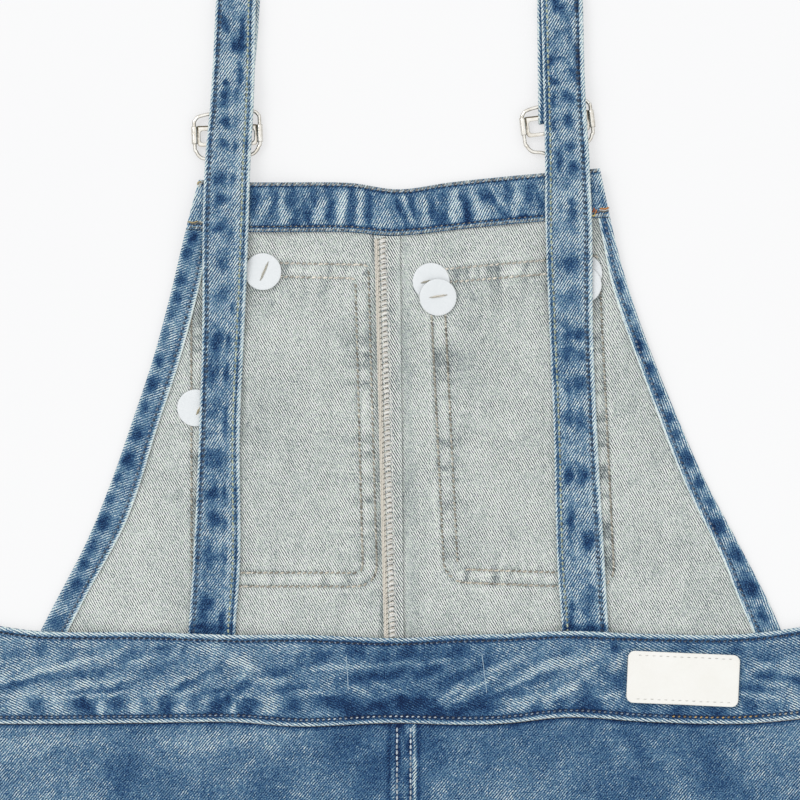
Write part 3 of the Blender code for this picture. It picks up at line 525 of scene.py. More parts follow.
def denim(name, weave):
    """Twill: slanting wales of pale weft over dyed warp, each broken into dashes, on the mesh's tone of wear
    and painted shade.
    """
    finish = weave.finish
    tree = material(name)
    cloth = tree.attribute("cloth", "Vector")
    inputs = {"Vector": cloth, "Angle": -math.radians(weave.turn)}
    turned_cloth = tree.add("ShaderNodeVectorRotate", 0, inputs, rotation_type="Z_AXIS")
    along, across, _ = tree.add("ShaderNodeSeparateXYZ", 0, {0: turned_cloth}).node.outputs

    wobble = tree.plus(
        tree.varied(finish.wobble, cloth, 0.16, 2.0), tree.varied(0.5 * finish.wobble, cloth, 0.6)
    )
    phase = tree.plus(tree.math("DIVIDE", across, weave.period), wobble)
    wave = tree.math("COSINE", tree.times(phase, 2 * math.pi))
    wale = tree.times(tree.math("FLOOR", phase), WALE_APART)
    dash = tree.noise(tree.point(tree.math("DIVIDE", along, DASH_LENGTH), wale, 0.0), 1.0, 2.0, 0.6)
    broken = tree.noise(tree.point(tree.times(along, 0.7), tree.times(across, 1.15), 7.0), 1.0, 1.0, 0.6)
    weft = tree.math("COSINE", tree.times(tree.plus(along, tree.times(wale, 0.37)), PICKS))

    # The twill stands out most at a middling tone, and in patches.
    wear = tree.attribute("wear")
    strength = tree.within(tree.less(tree.times(wear, 1.35), 0.15), finish.least, 0.7)
    left = tree.within(tree.times(tree.less(1.04, wear), 4.0), 0.15, 1.0)
    contrast = tree.times(tree.times(strength, left), finish.contrast)
    evenness = tree.at_least(tree.plus(tree.spread(broken, 4.4), tree.spread(dash, 2.6), 1.05), 0.0)
    patchy = tree.plus(tree.varied(2.2, cloth, 0.1, 2.0, 0.6), tree.attribute("crisp"), 1.0)
    lines = tree.times(wave, contrast, evenness, tree.at_least(patchy, 0.25))

    grain = tree.varied(finish.grain, cloth, 1.5, 1.0, 0.6)
    mottle = tree.varied(finish.mottle, cloth, 0.55, 2.0, 0.6)
    slub = tree.varied(finish.slub, tree.stretched(cloth, (0.035, 1.1, 1.0)), 1.0, 2.0, 0.6)
    cloud = tree.varied(finish.cloud, cloth, 0.11, 4.0, 0.65)
    dashes = tree.spread(dash, finish.dash)
    tone = tree.plus(wear, lines, grain, mottle, slub, cloud, dashes, tree.times(weft, 0.04))
    tree.bump(tree.plus(tree.times(wave, 0.5), tree.times(weft, 0.18), dashes), 0.1, finish.bump)
    tree.set(Base_Color=tree.tinted(tree.dyed(tone, finish.ramp), cloth), Roughness=finish.rough)
    tree.set(Sheen_Weight=0.03, Sheen_Roughness=0.6, Specular_IOR_Level=0.12)
    return tree.owner


def thread_material():
    tree = material("thread")
    fuzz = tree.noise(tree.place(), 2400.0, 2.0, 0.6)
    shade = tree.plus(tree.times(fuzz, 0.5), 0.75)
    tree.bump(fuzz, 0.12)
    # Thread colours are dyes, except the dark overlock loops, which are painted shadow, and navy threads
    # beside some stitch rows, which are partly painted shade.
    tree.set(Base_Color=tree.scaled(tree.attribute("dye", "Color"), shade), Roughness=0.75)
    tree.set(Sheen_Weight=0.15, Specular_IOR_Level=0.25)
    return tree.owner


def leather_material():
    tree = material("leather")
    place = tree.place()
    grain = tree.add("ShaderNodeTexVoronoi", "Distance", {"Vector": place, "Scale": 1900.0})
    soft = tree.noise(place, 260.0, 3.0)
    tone = tree.plus(tree.attribute("wear"), tree.spread(soft, 0.25), tree.varied(0.3, place, 40.0, 3.0))
    tree.bump(tree.plus(grain, soft), 0.06, 0.6)
    rough = tree.plus(tree.times(soft, 0.2), 0.4)
    tree.set(Base_Color=tree.dyed(tone, LEATHER_RAMP), Roughness=rough, Specular_IOR_Level=0.35)
    return tree.owner


def backing_material():
    tree = material("backing")
    fibres = tree.noise(tree.place(), 1500.0, 3.0, 0.7)
    tree.bump(fibres, 0.05, 0.6)
    tone = tree.plus(tree.attribute("wear"), tree.spread(fibres, 0.5))
    tree.set(Base_Color=tree.dyed(tone, BACKING_RAMP), Roughness=0.55)
    return tree.owner


def nickel_material():
    tree = material("nickel")
    place = tree.place()
    scratch = tree.noise(tree.stretched(place, (900.0, 220.0, 900.0)), 1.0, 3.0, 0.7)
    # The attribute darkens the metal where shade is painted on it.
    tone = tree.plus(tree.noise(place, 320.0, 4.0, 0.6), tree.attribute("wear"))
    tree.bump(scratch, 0.012, 0.5)
    rough = tree.plus(tree.times(scratch, 0.16), 0.14)
    tree.set(Base_Color=tree.dyed(tone, NICKEL_RAMP, ZENITH), Roughness=rough, Metallic=1.0)
    return tree.owner


MATERIALS = {name: denim(f"denim_{name}", weave) for name, weave in WEAVES.items()}
MATERIALS |= {
    "thread": thread_material(),
    "leather": leather_material(),
    "backing": backing_material(),
    "nickel": nickel_material(),
}

# ---------------------------------------------------------------- meshes

surfaces = {}  # the faces of each node's cloth made so far, for the threads that lie on it


def mesh_object(name, points, faces, finishes, attributes, face_finish=None):
    """points are in the garment's millimetres. attributes gives the values of each point by name."""
    data = bpy.data.meshes.new(name)
    placed = np.asarray(points, float) + (0.0, MIDDLE, 0.0)
    data.from_pydata((placed * MM).tolist(), [], faces)
    for finish in finishes:
        data.materials.append(MATERIALS[finish])
    if face_finish is not None:
        data.polygons.foreach_set("material_index", np.asarray(face_finish, np.int32))
    for key, values in attributes.items():
        values = np.asarray(values, np.float32)
        kind, field = ("FLOAT", "value") if values.ndim == 1 else ("FLOAT_VECTOR", "vector")
        data.attributes.new(key, kind, "POINT").data.foreach_set(field, values.ravel())
    data.shade_smooth()
    data.update()
    made = bpy.data.objects.new(name, data)
    bpy.context.scene.collection.objects.link(made)
    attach(made, BODY)
    return made


def quads(index, flip):
    """The faces of a grid of point numbers."""
    corners = (index[:-1, :-1], index[:-1, 1:], index[1:, 1:], index[1:, :-1])
    found = np.stack(corners, axis=-1).reshape(-1, 4)
    return found[:, ::-1] if flip else found


def shell(name, node, top, bottom, wear, cloth, finishes):
    """A closed wall of cloth between two grids of points, which meet along the outline. The tone of wear and
    painted shade is a pair, for the upper and lower face, and finishes are too where the two faces look
    different."""
    rows, columns = top.shape[:2]
    inner = np.zeros((rows, columns), bool)
    inner[1:-1, 1:-1] = True
    upper = np.arange(rows * columns).reshape(rows, columns)
    lower = upper.copy()
    lower[inner] = rows * columns + np.arange(inner.sum())
    points = np.concatenate([top.reshape(-1, 3), bottom[inner]])
    across, along = top[0, 1] - top[0, 0], top[1, 0] - top[0, 0]
    flip = across[0] * along[1] - across[1] * along[0] < 0
    faces = np.concatenate([quads(upper, flip), quads(lower, not flip)])
    face_finish = np.repeat([0, len(finishes) - 1], len(faces) // 2)
    attributes = {
        "wear": np.concatenate([wear[0].ravel(), wear[1][inner]]),
        "cloth": np.concatenate([cloth.reshape(-1, 3), cloth[inner]]),
    }
    faces = faces.tolist()
    made = mesh_object(name, points, faces, finishes, attributes, face_finish)
    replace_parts(made, node)
    surfaces[node] = BVHTree.FromPolygons(points.tolist(), faces)
    return made


def garment_points(data):
    """The points of a mesh in the garment's millimetres."""
    points = np.empty(len(data.vertices) * 3, np.float32)
    data.vertices.foreach_get("co", points)
    return points.reshape(-1, 3) / MM - (0.0, MIDDLE, 0.0)


def crisped(made, crisp):
    """Says where a cloth's twill stands out more, above 0, or less: crisp is a function of x and y."""
    x, y, _ = garment_points(made.data).T
    values = crisp(x, y).astype(np.float32)
    made.data.attributes.new("crisp", "FLOAT", "POINT").data.foreach_set("value", values)


RIM_STEPS = np.array([0.0, 0.06, 0.22, 0.5])  # how far in from a rim of radius 1 the points stand


def stations(length, step, rim=1.0):
    """Shares of a length that stand a step apart, and closer together at both rims."""
    close = RIM_STEPS * rim
    count = max(2, round((length - 2 * rim) / step))
    middle = np.linspace(rim, length - rim, count + 1)
    return np.concatenate([close, middle, length - close[::-1]]) / length


def outline_distance(x, y, joined=False):
    """How far each point of a grid is from the grid's outline, along its rows and columns. The last column is
    no outline where the cloth is joined to its neighbour: joined says where, for all places or for each."""
    found = []
    for axis in (0, 1):
        steps = np.hypot(np.diff(x, axis=axis), np.diff(y, axis=axis))
        pad = ((1, 0), (0, 0)) if axis == 0 else ((0, 0), (1, 0))
        run = np.pad(np.cumsum(steps, axis=axis), pad)
        back = np.take(run, [-1], axis=axis) - run
        found.append(np.where(joined & (axis == 1), run, np.minimum(run, back)))
    return found


def rounding(distance, radius):
    """1 inside and 0 at the rim, along a quarter circle."""
    return np.sqrt(1 - (1 - np.clip(distance / radius, 0, 1)) ** 2)


def around(values, **pad):
    """The grid's values and those of its four neighbours, below, above, left and right."""
    padded = np.pad(values, 1, **pad)
    return values, padded[:-2, 1:-1], padded[2:, 1:-1], padded[1:-1, :-2], padded[1:-1, 2:]


def blurred(values, times):
    """The grid of values with each replaced by the mean of its neighbours, some times over."""
    for _ in range(times):
        own, *others = around(values, mode="edge")
        values = sum(others, own * 2) / 6
    return values


def solid(node):
    """The part's own solid of a node: its points in the garment's millimetres, and its faces."""
    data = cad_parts[node].data
    points = garment_points(data)
    return points, BVHTree.FromPolygons(points.tolist(), [tuple(face.vertices) for face in data.polygons])


def cast(tree, x, y, down=True):
    """The height at which a line straight down, or straight up, meets a surface, or nan."""
    start, way = (60.0, Vector((0, 0, -1))) if down else (-20.0, Vector((0, 0, 1)))
    found = np.full(np.size(x), np.nan)
    for i, (at_x, at_y) in enumerate(zip(np.ravel(x), np.ravel(y))):
        hit = tree.ray_cast(Vector((at_x, at_y, start)), way, 100.0)[0]
        if hit:
            found[i] = hit.z
    return found.reshape(np.shape(x))


def filled(values):
    """The grid with its gaps filled from their neighbours."""
    while np.isnan(values).any():
        others = np.stack(around(values, constant_values=np.nan)[1:])
        counted = (~np.isnan(others)).sum(axis=0)
        mean = np.nansum(others, axis=0) / np.maximum(counted, 1)
        values = np.where(np.isnan(values) & (counted > 0), mean, values)
    return values


def laid(node, place, size, step, finishes, relief, wear, rim=0.6, blur=6, inset=1.6, kind="cloth", **looks):
    """A piece of cloth that lies flat. place(u, v) gives its places, and relief and the tone of wear and
    painted shade what is added there, as functions of x, y and the distances to the outline across and along
    it. Its lower and upper face are those of the part's solid, read a little inside the outline and smoothed."""
    u, v = np.meshgrid(*(stations(length, step, rim * 1.4) for length in size))
    insets = [inset / length for length in size]
    x, y = place(*(np.clip(share, there, 1 - there) for share, there in zip((u, v), insets)))
    tree = solid(node)[1]
    low, high = (blurred(filled(cast(tree, x, y, down)), blur) for down in (False, True))
    return flat_shell(f"{kind}_{node}", node, *place(u, v), low, high, finishes, relief, wear, rim, **looks)


def flat_shell(
    name, node, x, y, low, high, finishes, relief, wear, rim, under=None, slot="denim", joined=False
):
    """A wall of cloth between two heights, whose rim is rounded and whose upper face has the relief added.
    under is the tone of its lower face, where that looks different."""
    down, across = outline_distance(x, y, joined)
    here = (x, y, across, down)
    middle, half = (low + high) / 2, (high - low) / 2
    full = rounding(np.minimum(down, across), rim)
    raised = relief(*here) if relief else 0
    top = np.stack([x, y, middle + (half + raised) * full], axis=-1)
    bottom = np.stack([x, y, middle - half * full], axis=-1)
    tone = wear(*here)
    tones = (tone, under(*here) if under else tone)
    return shell(name, node, top, bottom, tones, np.stack([x, y, np.zeros_like(x)], axis=-1), finishes)


def resampled(path, step):
    """Points a step apart along a path."""
    path = np.asarray(path, float)
    run = np.concatenate([[0], np.cumsum(np.linalg.norm(np.diff(path, axis=0), axis=1))])
    at = np.linspace(0, run[-1], max(2, round(run[-1] / step)) + 1)
    return np.column_stack([np.interp(at, run, path[:, axis]) for axis in range(path.shape[1])])


Bulge = namedtuple("Bulge", "share rise size")  # along a stitch, in its length and thickness
STITCH_SECTIONS = table_of(
    Bulge,
    (0.05, -0.26, 0.55), (0.27, 0.16, 1.0), (0.73, 0.16, 1.0), (0.95, -0.26, 0.55),
)
STITCH_SIDES = 4
HIDDEN_SIDES = 3  # on the underside, which rests on the floor


def circle(across, up, sides):
    """Steps round a circle of radius 1, for each of some pairs of directions."""
    turn = np.arange(sides) * 2 * math.pi / sides
    return across[:, None] * np.cos(turn)[None, :, None] + up[:, None] * np.sin(turn)[None, :, None]


class Threads:
    """Gathers the stitches and lengths of thread on one node's cloth, which become one piece. up is -1 on an
    underside."""

    def __init__(self, node, up=1):
        self.node, self.up = node, up
        self.points, self.faces, self.dyes = [], [], []
        self.count = 0

    def lay(self, x, y):
        """A path on the cloth, whose gaps are filled from its own ends and neighbours."""
        height = cast(surfaces[self.node], x, y, self.up > 0)
        known = ~np.isnan(height)
        height = np.interp(np.arange(len(height)), np.flatnonzero(known), height[known])
        return np.column_stack([x, y, height])

    def tube(self, path, radii, dye, up=(0, 0, 1), sides=STITCH_SIDES):
        """A length of thread along a path, closed to a point at both ends. radii is one or one a point."""
        path = np.asarray(path, float)
        radii = np.broadcast_to(np.asarray(radii, float), len(path))
        run = np.gradient(path, axis=0)
        run /= np.linalg.norm(run, axis=1)[:, None]
        side = np.cross(run, up)
        side /= np.maximum(np.linalg.norm(side, axis=1), 1e-9)[:, None]
        ring = circle(side, np.cross(side, run), sides)
        rings = path[1:-1, None] + ring[1:-1] * radii[1:-1, None, None]
        points = np.concatenate([path[:1], rings.reshape(-1, 3), path[-1:]])
        last = len(points) - 1
        faces = []
        for i in range(sides):
            j = (i + 1) % sides
            faces.append((0, 1 + i, 1 + j))
            for low in range(1, last - sides, sides):
                faces.append((low + i, low + sides + i, low + sides + j, low + j))
            faces.append((last - sides + j, last - sides + i, last))
        self.points.append(points)
        self.faces += [tuple(self.count + corner for corner in face) for face in faces]
        self.dyes.append(np.tile(dye, (len(points), 1)))
        self.count += len(points)

    def row(
        self, path, dye, thick=THREAD, gap=0.5, seed=1, lift=1.0, uneven=0.12, slant=0.0, pitch=STITCH, up=0
    ):
        """A row of stitches along a path that lies on the cloth. up says on which side, where it isn't 0."""
        up = up or self.up
        sides = STITCH_SIDES if up > 0 else HIDDEN_SIDES
        radii = [0, *(size * thick / 2 for _, _, size in STITCH_SECTIONS), 0]
        sunk = np.array((0, 0, up * 0.4 * thick))
        ends = resampled(path, pitch)
        rng = np.random.default_rng(seed)
        colour = linear(THREADS[dye])
        for start, end in zip(ends[:-1], ends[1:]):
            run = end - start
            run *= 1 - gap / np.linalg.norm(run)
            side = np.array([-run[1], run[0], 0.0])
            side /= np.linalg.norm(side)
            start = start + (end - start - run) / 2 + side * rng.normal(0, 0.05)
            stitch = [start - side * slant / 2 - sunk]
            for share, rise, _ in STITCH_SECTIONS:
                shift = side * slant * (share - 0.5)
                stitch.append(start + run * share + shift + (0, 0, up * rise * thick * lift))
            stitch.append(start + run + side * slant / 2 - sunk)
            self.tube(stitch, radii, colour * rng.uniform(1 - uneven * 2, 1 + uneven), (0, 0, up), sides)

    def piece(self, slot="denim"):
        points, dyes = np.concatenate(self.points), np.concatenate(self.dyes)
        return mesh_object(f"thread_{self.node}", points, self.faces, ["thread"], {"dye": dyes})


# ---------------------------------------------------------------- bib


def band_edge(x, edge):
    return curve(BAND, edge, np.clip(x, -BAND_END, BAND_END))


def bib_foot(x):
    return band_edge(x, "top") - FRONT_BAND_DROP + GAP


Turn = namedtuple("Turn", "x rise")
HEM_RISE = table_of(  # how far the hem's lower edge stands above an even width
    Turn,
    (-120, 0), (-60, -0.3), (-30, 0), (-14, 0.8), (0, 1.6), (12, 1.2), (24, 0.8), (80, 0.9), (100, 0.5),
    (120, 0),
)


def hem_edge(x):
    level_there = BIB_TOP[0].y - TOP_HEM
    left, right = (curve(BIB_SIDES, side, level_there) for side in ("left", "right"))
    at = lerp(BIB_TOP[0].x, BIB_TOP[-1].x, (x - left) / (right - left))
    return curve(BIB_TOP, "y", at) - TOP_HEM + curve(HEM_RISE, "rise", at)


def slope(pocket, along):
    """How steeply a pocket's own rows of thread run, from its foot to its head."""
    return lerp(pocket.foot, pocket.head, along / pocket.height + 0.5)


POCKET_LEAN = {"left": 0.0286, "right": 0.0}  # how far the right side of a pocket leans to the left


def leaned(pocket, across, along):
    """How far a pocket's lean moves each place to the left."""
    return POCKET_LEAN[pocket.side] * along * (across / pocket.width + 0.5)


def in_pocket(pocket, x, y):
    """Places across and along a pocket from its middle, and whether its upper or lower edge is nearest."""
    across, along = turned(x - pocket.x, y - pocket.y, pocket.turn)
    return across, along, pocket.height / 2 - np.abs(along) < pocket.width / 2 - np.abs(across)


def pocket_inside(pocket, x, y):
    """How far inside a pocket's outline each place is, below 0 outside it."""
    across, along, _ = in_pocket(pocket, x, y)
    across = across + leaned(pocket, across, along)
    along = along - across * slope(pocket, along)
    corner = np.where(along < 0, POCKET_CORNER, POCKET_TOP_CORNER)
    past_x = np.abs(across) - pocket.width / 2 + corner
    past_y = np.abs(along) - pocket.height / 2 + corner
    outside = np.hypot(np.maximum(past_x, 0), np.maximum(past_y, 0))
    return corner - outside - np.minimum(np.maximum(past_x, past_y), 0)


POCKET_ROWS = (0.9, 8.4)  # how far inside a pocket's edge its stitches run


def bib_relief(x, y, across, down):
    """The pocket's edge and its two rows of stitches press through, with short puckers between the rows."""
    lift = 0.12 * noise(x, y, 9, 11) + 0.25 * noise(x, y, 26, 12)
    for number, pocket in enumerate(POCKETS):
        inside = pocket_inside(pocket, x, y)
        for row in POCKET_ROWS:
            lift -= 0.22 * near(inside - row, 1.3)
        between = near(inside - sum(POCKET_ROWS) / 2, 3.2)
        lift += between * (0.22 + 0.3 * noise(x, y, 4.5, 13 + number))
    return lift


def pocket_bars(pocket, x, y, seed):
    """Short bars, from -1 to 1, that stand across a pocket's rows of stitches."""
    across, along, level_row = in_pocket(pocket, x, y)
    upright = noise(across / 2.9, along / 22, 1.0, seed) + 0.5 * noise(across / 1.9, along / 9, 1.0, seed + 1)
    flat = noise(across / 22, along / 3.2, 1.0, seed + 2)
    return np.minimum(np.where(level_row, upright, flat), np.where(level_row, 0.5, 0.2))


def bib_wear_and_shade(x, y, across, down):
    tone = 0.55 + 0.05 * noise(x, y, 24, 21) + 0.035 * noise(x, y, 7, 22)
    tone += 0.04 * streaks(x, y, 26, 3, 90, 23)
    tone += 0.06 * near(x + 150, 36) + 0.03 * near(x + 8, 50) + 0.03 * ease((y - 160) / 60)
    from_seam = x - curve(BIB_SEAM, "right", y)
    low_down = ease((170 - y) / 140)
    # Painted shade: a soft fold shadow beside the seam allowance's right edge, wider and further out lower
    # down.
    tone -= 0.09 * near(from_seam - 2.6 - 3.0 * low_down, 2.4 + 1.6 * low_down)
    # Painted shadow: a dark line just outside the seam allowance's left edge, where it stands up from the
    # bib.
    tone -= 0.3 * near(x - curve(BIB_SEAM, "left", y) + 0.5, 0.9)
    for number, pocket in enumerate(POCKETS):
        inside = pocket_inside(pocket, x, y)
        bars = pocket_bars(pocket, x, y, 220 + 7 * number)
        for row in POCKET_ROWS:
            # Darker along the pocket's stitch rows: partly painted shade in their pressed-in grooves, partly
            # less worn cloth.
            tone -= 0.15 * near(inside - row, 1.5)
            tone += 0.1 * near(inside - row + 2.6, 1.2)
        between = near(inside - sum(POCKET_ROWS) / 2, 3.4)
        within = ease((inside - POCKET_ROWS[1]) / 2) * (1 - ease((inside - POCKET_ROWS[1]) / 24))
        tone += bars * (0.34 * between + 0.17 * within) - 0.03 * (between + within)
    return tone


def bib_crisp(x, y):
    crisp = -0.7 * near(x - curve(BIB_SEAM, "right", y) - 3.4, 2.2)
    for number, pocket in enumerate(POCKETS):
        inside = pocket_inside(pocket, x, y)
        bars = pocket_bars(pocket, x, y, 220 + 7 * number)
        crisp += np.maximum(0, -bars) * near(inside - sum(POCKET_ROWS) / 2 - 2, 6.5)
    return crisp


def bib_face_wear(x, y, across, down):
    return 0.5 + 0.1 * noise(x, y, 20, 27) + 0.06 * noise(x, y, 6, 28)


SEAM_GAP = 0.06  # between the two halves of the bib, which are sewn together there


def bib_half(side):
    corner = {"left": BIB_TOP[0].x, "right": BIB_TOP[-1].x}[side]
    foot = getattr(BIB_SIDES[0], side)
    centre = SIGN[side] * SEAM_GAP / 2

    def place(u, v):
        y = lerp(bib_foot(lerp(foot, centre, u)), curve(BIB_TOP, "y", lerp(corner, centre, u)), v)
        return lerp(curve(BIB_SIDES, side, y), centre, u), y

    made = laid(
        f"bib_{side}", place, (150, 250), 1.9, ["bib_inside", "bib_face"], bib_relief, bib_wear_and_shade,
        rim=0.55, blur=5, under=bib_face_wear, slot="denim_inside", joined=True,
    )
    crisped(made, bib_crisp)
    return made


def rounded_outline(width, height, corners, steps=8):
    """Points round a rectangle with a radius for each corner: two at the bottom, two on top."""
    signs = ((-1, -1), (1, -1), (1, 1), (-1, 1))
    points = []
    for turn, ((across, up), radius) in enumerate(zip(signs, corners)):
        angle = math.pi + (turn + np.linspace(0, 1, steps + 1)) * math.pi / 2
        x = across * (width / 2 - radius) + radius * np.cos(angle)
        y = up * (height / 2 - radius) + radius * np.sin(angle)
        points.append(np.column_stack([x, y]))
    return np.concatenate([*points, points[0][:1]])


def set_down(points, middle, turn):
    x, y = turned(points[:, 0], points[:, 1], -turn)
    return np.column_stack([x + middle.x, y + middle.y])


def pocket_row(pocket, inside):
    corners = [max(0.3, radius - inside) for radius in (POCKET_CORNER,) * 2 + (POCKET_TOP_CORNER,) * 2]
    outline = rounded_outline(pocket.width - 2 * inside, pocket.height - 2 * inside, corners)
    outline[:, 1] += outline[:, 0] * slope(pocket, outline[:, 1])
    outline[:, 0] -= leaned(pocket, outline[:, 0], outline[:, 1])
    return resampled(set_down(outline, pocket, pocket.turn), 1.5)


def plate_place(middle, width, height, turn, corners, slope=lambda along: 0.0):
    """Places on a plate with round corners, for u across it and v along it."""
    low, high = corners

    def place(u, v):
        along = (v - 0.5) * height
        half = np.full(np.shape(v), width / 2)
        for radius, depth in ((low, along + height / 2), (high, height / 2 - along)):
            inset = radius - np.sqrt(np.maximum(radius**2 - np.maximum(radius - depth, 0) ** 2, 0))
            half -= inset
        across = lerp(-half, half, u)
        x, y = turned(across, along + across * slope(along), -turn)
        return x + middle.x, y + middle.y

    return place


def bib_pocket(pocket):
    """A patch pocket, which lies under the bib with its outside down."""
    size = (pocket.width, pocket.height)
    corners = (POCKET_CORNER, POCKET_TOP_CORNER)
    place = plate_place(pocket, *size, pocket.turn, corners, lambda along: slope(pocket, along))

    def wear(x, y, across, down):
        inside = pocket_inside(pocket, x, y)
        tone = 0.5 + 0.12 * noise(x, y, 16, 31) + 0.3 * near(inside, 1.0)
        # Darker along the stitch rows: partly painted shade in their grooves, partly less worn cloth.
        for row in POCKET_ROWS:
            tone -= 0.15 * near(inside - row, 0.9)
        return tone

    node = f"bib_pocket_{pocket.side}"
    made = laid(node, place, size, 3.0, ["pocket"], None, wear, rim=0.5, blur=1)
    threads = Threads(node, up=-1)
    for row in POCKET_ROWS:
        threads.row(threads.lay(*pocket_row(pocket, row).T), "tan", lift=0.3)
    threads.piece()


def stretches(path, chosen):
    """The unbroken stretches of a path whose points are chosen."""
    cuts = np.flatnonzero(np.diff(chosen.astype(int))) + 1
    parts = np.split(path, cuts)[0 if chosen[0] else 1 :: 2]
    return [part for part in parts if len(part) > 4]


def bib():
    halves = {side: bib_half(side) for side in SIGN}
    for pocket in POCKETS:
        threads = Threads(f"bib_{pocket.side}")
        for number, row in enumerate(POCKET_ROWS):
            path = threads.lay(*pocket_row(pocket, row).T)
            _, along, level_row = in_pocket(pocket, *path[:, :2].T)
            for dye, speck_dye, chosen in (
                ("cream", "bark", level_row & (along > 0)),
                ("rust", "umber", level_row & (along < 0)),
                ("bark", "umber", ~level_row),
            ):
                for part in stretches(path, chosen):
                    beside = part[1 + number :] + (0.5, 0.5, 0.05)
                    over = part[1:] + (0, 0, 0.06)
                    threads.row(part, dye, 1.1, 0.7, 40 + number, lift=0.3, uneven=0.3, slant=0.8)
                    threads.row(over, "cream", 0.6, 1.9, 50 + number, lift=0.9, uneven=0.3, slant=1.4)
                    threads.row(beside, speck_dye, 0.6, 2.3, 60 + number, lift=0.6, uneven=0.3, slant=0.7)
        threads.piece()


OVERLOCK_PITCH = 2.85
Cord = namedtuple("Cord", "shift thick shade")
EDGE_CORDS = (Cord(0.6, 0.8, 0.93), Cord(1.4, 0.9, 1.0), Cord(2.3, 0.8, 0.97))  # the threads along the edge
Loop = namedtuple("Loop", "lower start reach radius dye shade")
# Painted shadow: the umber and the grey loops are dark threads that stand for the shade in the gaps between
# the pale loops.
OVERLOCK = table_of(  # the threads of one pitch, which cross the edge or lie beside it
    Loop,
    (0.0, 2.9, 3.9, 0.4, "milk", 1.0), (0.7, 2.9, 4.1, 0.4, "milk", 1.0),
    (1.35, 2.9, 3.6, 0.36, "cream", 0.95), (1.0, 1.7, 1.5, 0.34, "umber", 1.0),
    (2.05, 3.9, 2.4, 0.26, "grey", 0.62), (0.35, 4.3, 1.5, 0.2, "grey", 0.8),
)


def bib_seam():
    """The seam allowance of the bib's two halves, overlocked and pressed to the left."""
    foot, head = float(bib_foot(0)), float(hem_edge(-8) - GAP)

    def place(u, v):
        end = hem_edge(lerp(BIB_SEAM[-1].left, BIB_SEAM[-1].right, u)) - GAP
        y = lerp(bib_foot(0), end, v)
        return lerp(curve(BIB_SEAM, "left", y), curve(BIB_SEAM, "right", y), u), y

    def inside(x, y):
        return x - curve(BIB_SEAM, "left", y)

    def relief(x, y, across, down):
        at = inside(x, y)
        return 0.15 * near(at - 2.6, 2.0) - 0.3 * near(at - 8.6, 0.8) + 0.12 * noise(x, y, 5, 61)

    def wear(x, y, across, down):
        at = inside(x, y)
        tone = 0.58 + 0.08 * noise(x, y, 6, 62) - 0.12 * near(at - 9.0, 1.9)
        return tone + (0.06 + 0.12 * noise(x, y, 3.4, 66)) * near(at - 4.9, 1.9)

    def crisp(x, y):
        at = inside(x, y)
        return 1.3 * near(at - 9.0, 2.0) - 0.5 * near(at - 13.4, 1.2)

    made = laid(
        "bib_seam", place, (12, head - foot), 1.0, ["bib_inside"], relief, wear,
        rim=0.5, blur=4, inset=0.8, slot="denim_inside",
    )
    crisped(made, crisp)
    threads = Threads("bib_seam")
    y = np.arange(foot + 1.5, head - 1, 0.5)
    left = curve(BIB_SEAM, "left", y)
    rng = np.random.default_rng(63)
    for cord in EDGE_CORDS:
        edge = threads.lay(left + cord.shift, y) + (0, 0, 0.1)
        edge[:, 0] += 0.2 * np.sin(y * 2 * math.pi / 1.42 + cord.shift * 3)
        edge[:, 2] += 0.1 * np.sin(y * 2 * math.pi / 2.84 + cord.shift)
        threads.tube(edge, cord.thick / 2, linear(THREADS["cream"]) * cord.shade, sides=5)
    share = np.linspace(0, 1, 6)
    for step in np.arange(foot + 2, head - 2, OVERLOCK_PITCH):
        for lower, start, reach, radius, dye, shade in OVERLOCK:
            rise = 0.9 * share + 0.35 * np.sin(share * math.pi)
            loop_y = step + lower + rise + rng.normal(0, 0.12)
            loop_x = float(curve(BIB_SEAM, "left", step)) + start + reach * share + rng.normal(0, 0.15)
            path = threads.lay(loop_x, loop_y)
            path[:, 2] += 0.3 * radius * np.sin(share * math.pi) + (0.1 if start < 3 else 0.02)
            colour = linear(THREADS[dye]) * shade * rng.uniform(0.85, 1.08)
            threads.tube(path, radius, colour, sides=5)
    threads.row(threads.lay(left + 7.2, y), "milk", 0.55, 0.6, seed=64, slant=0.3, pitch=OVERLOCK_PITCH)
    threads.piece("denim_inside")


TOP_HEM_ROWS = (2.1, TOP_HEM - 3.0)  # how far below the bib's top edge the hem's stitches run
ROPE_ROWS = (0.8, TOP_HEM - 1.1)  # and the twisted ridges at its two edges


HEM_CORNERS = table_of(  # where the hem's two ends are worn pale
    Fade,
    (-112, 244, 5, 12, 0, 0.2), (-110, 227, 7, 3, 0, 0.16), (111, 249, 7, 5, 0, 0.12),
    (108, 231, 8, 2, 0, 0.12),
)


def top_hem_place(u, v):
    at = lerp(BIB_TOP[0].x, BIB_TOP[-1].x, u)
    y = curve(BIB_TOP, "y", at) - (TOP_HEM - curve(HEM_RISE, "rise", at)) * (1 - v)
    return lerp(curve(BIB_SIDES, "left", y), curve(BIB_SIDES, "right", y), u), y


Strand = namedtuple("Strand", "x y length turn thick dye")
CORNER_STRANDS = table_of(  # loose and doubled threads at the hem's two ends
    Strand,
    (-114.6, 226.8, 6.5, 2, 0.8, "tan"), (-109.4, 226.6, 4.5, -4, 0.7, "sand"),
    (-113.0, 226.0, 7.0, 1, 0.5, "umber"),
    (-111.3, 248.4, 3.0, 40, 0.9, "tan"), (-110.6, 247.4, 3.4, 60, 0.7, "pearl"),
    (110.9, 234.2, 6.0, 9, 0.9, "orange"), (111.0, 233.4, 6.0, 9, 0.6, "pearl"),
    (110.4, 232.6, 7.0, 9, 0.5, "umber"), (105.0, 233.2, 3.2, 70, 0.9, "ember"),
    (106.2, 232.4, 3.0, 50, 0.8, "orange"), (105.2, 231.6, 2.6, 110, 0.7, "umber"),
    (105.0, 230.4, 2.8, 20, 0.9, "yellow"),
)


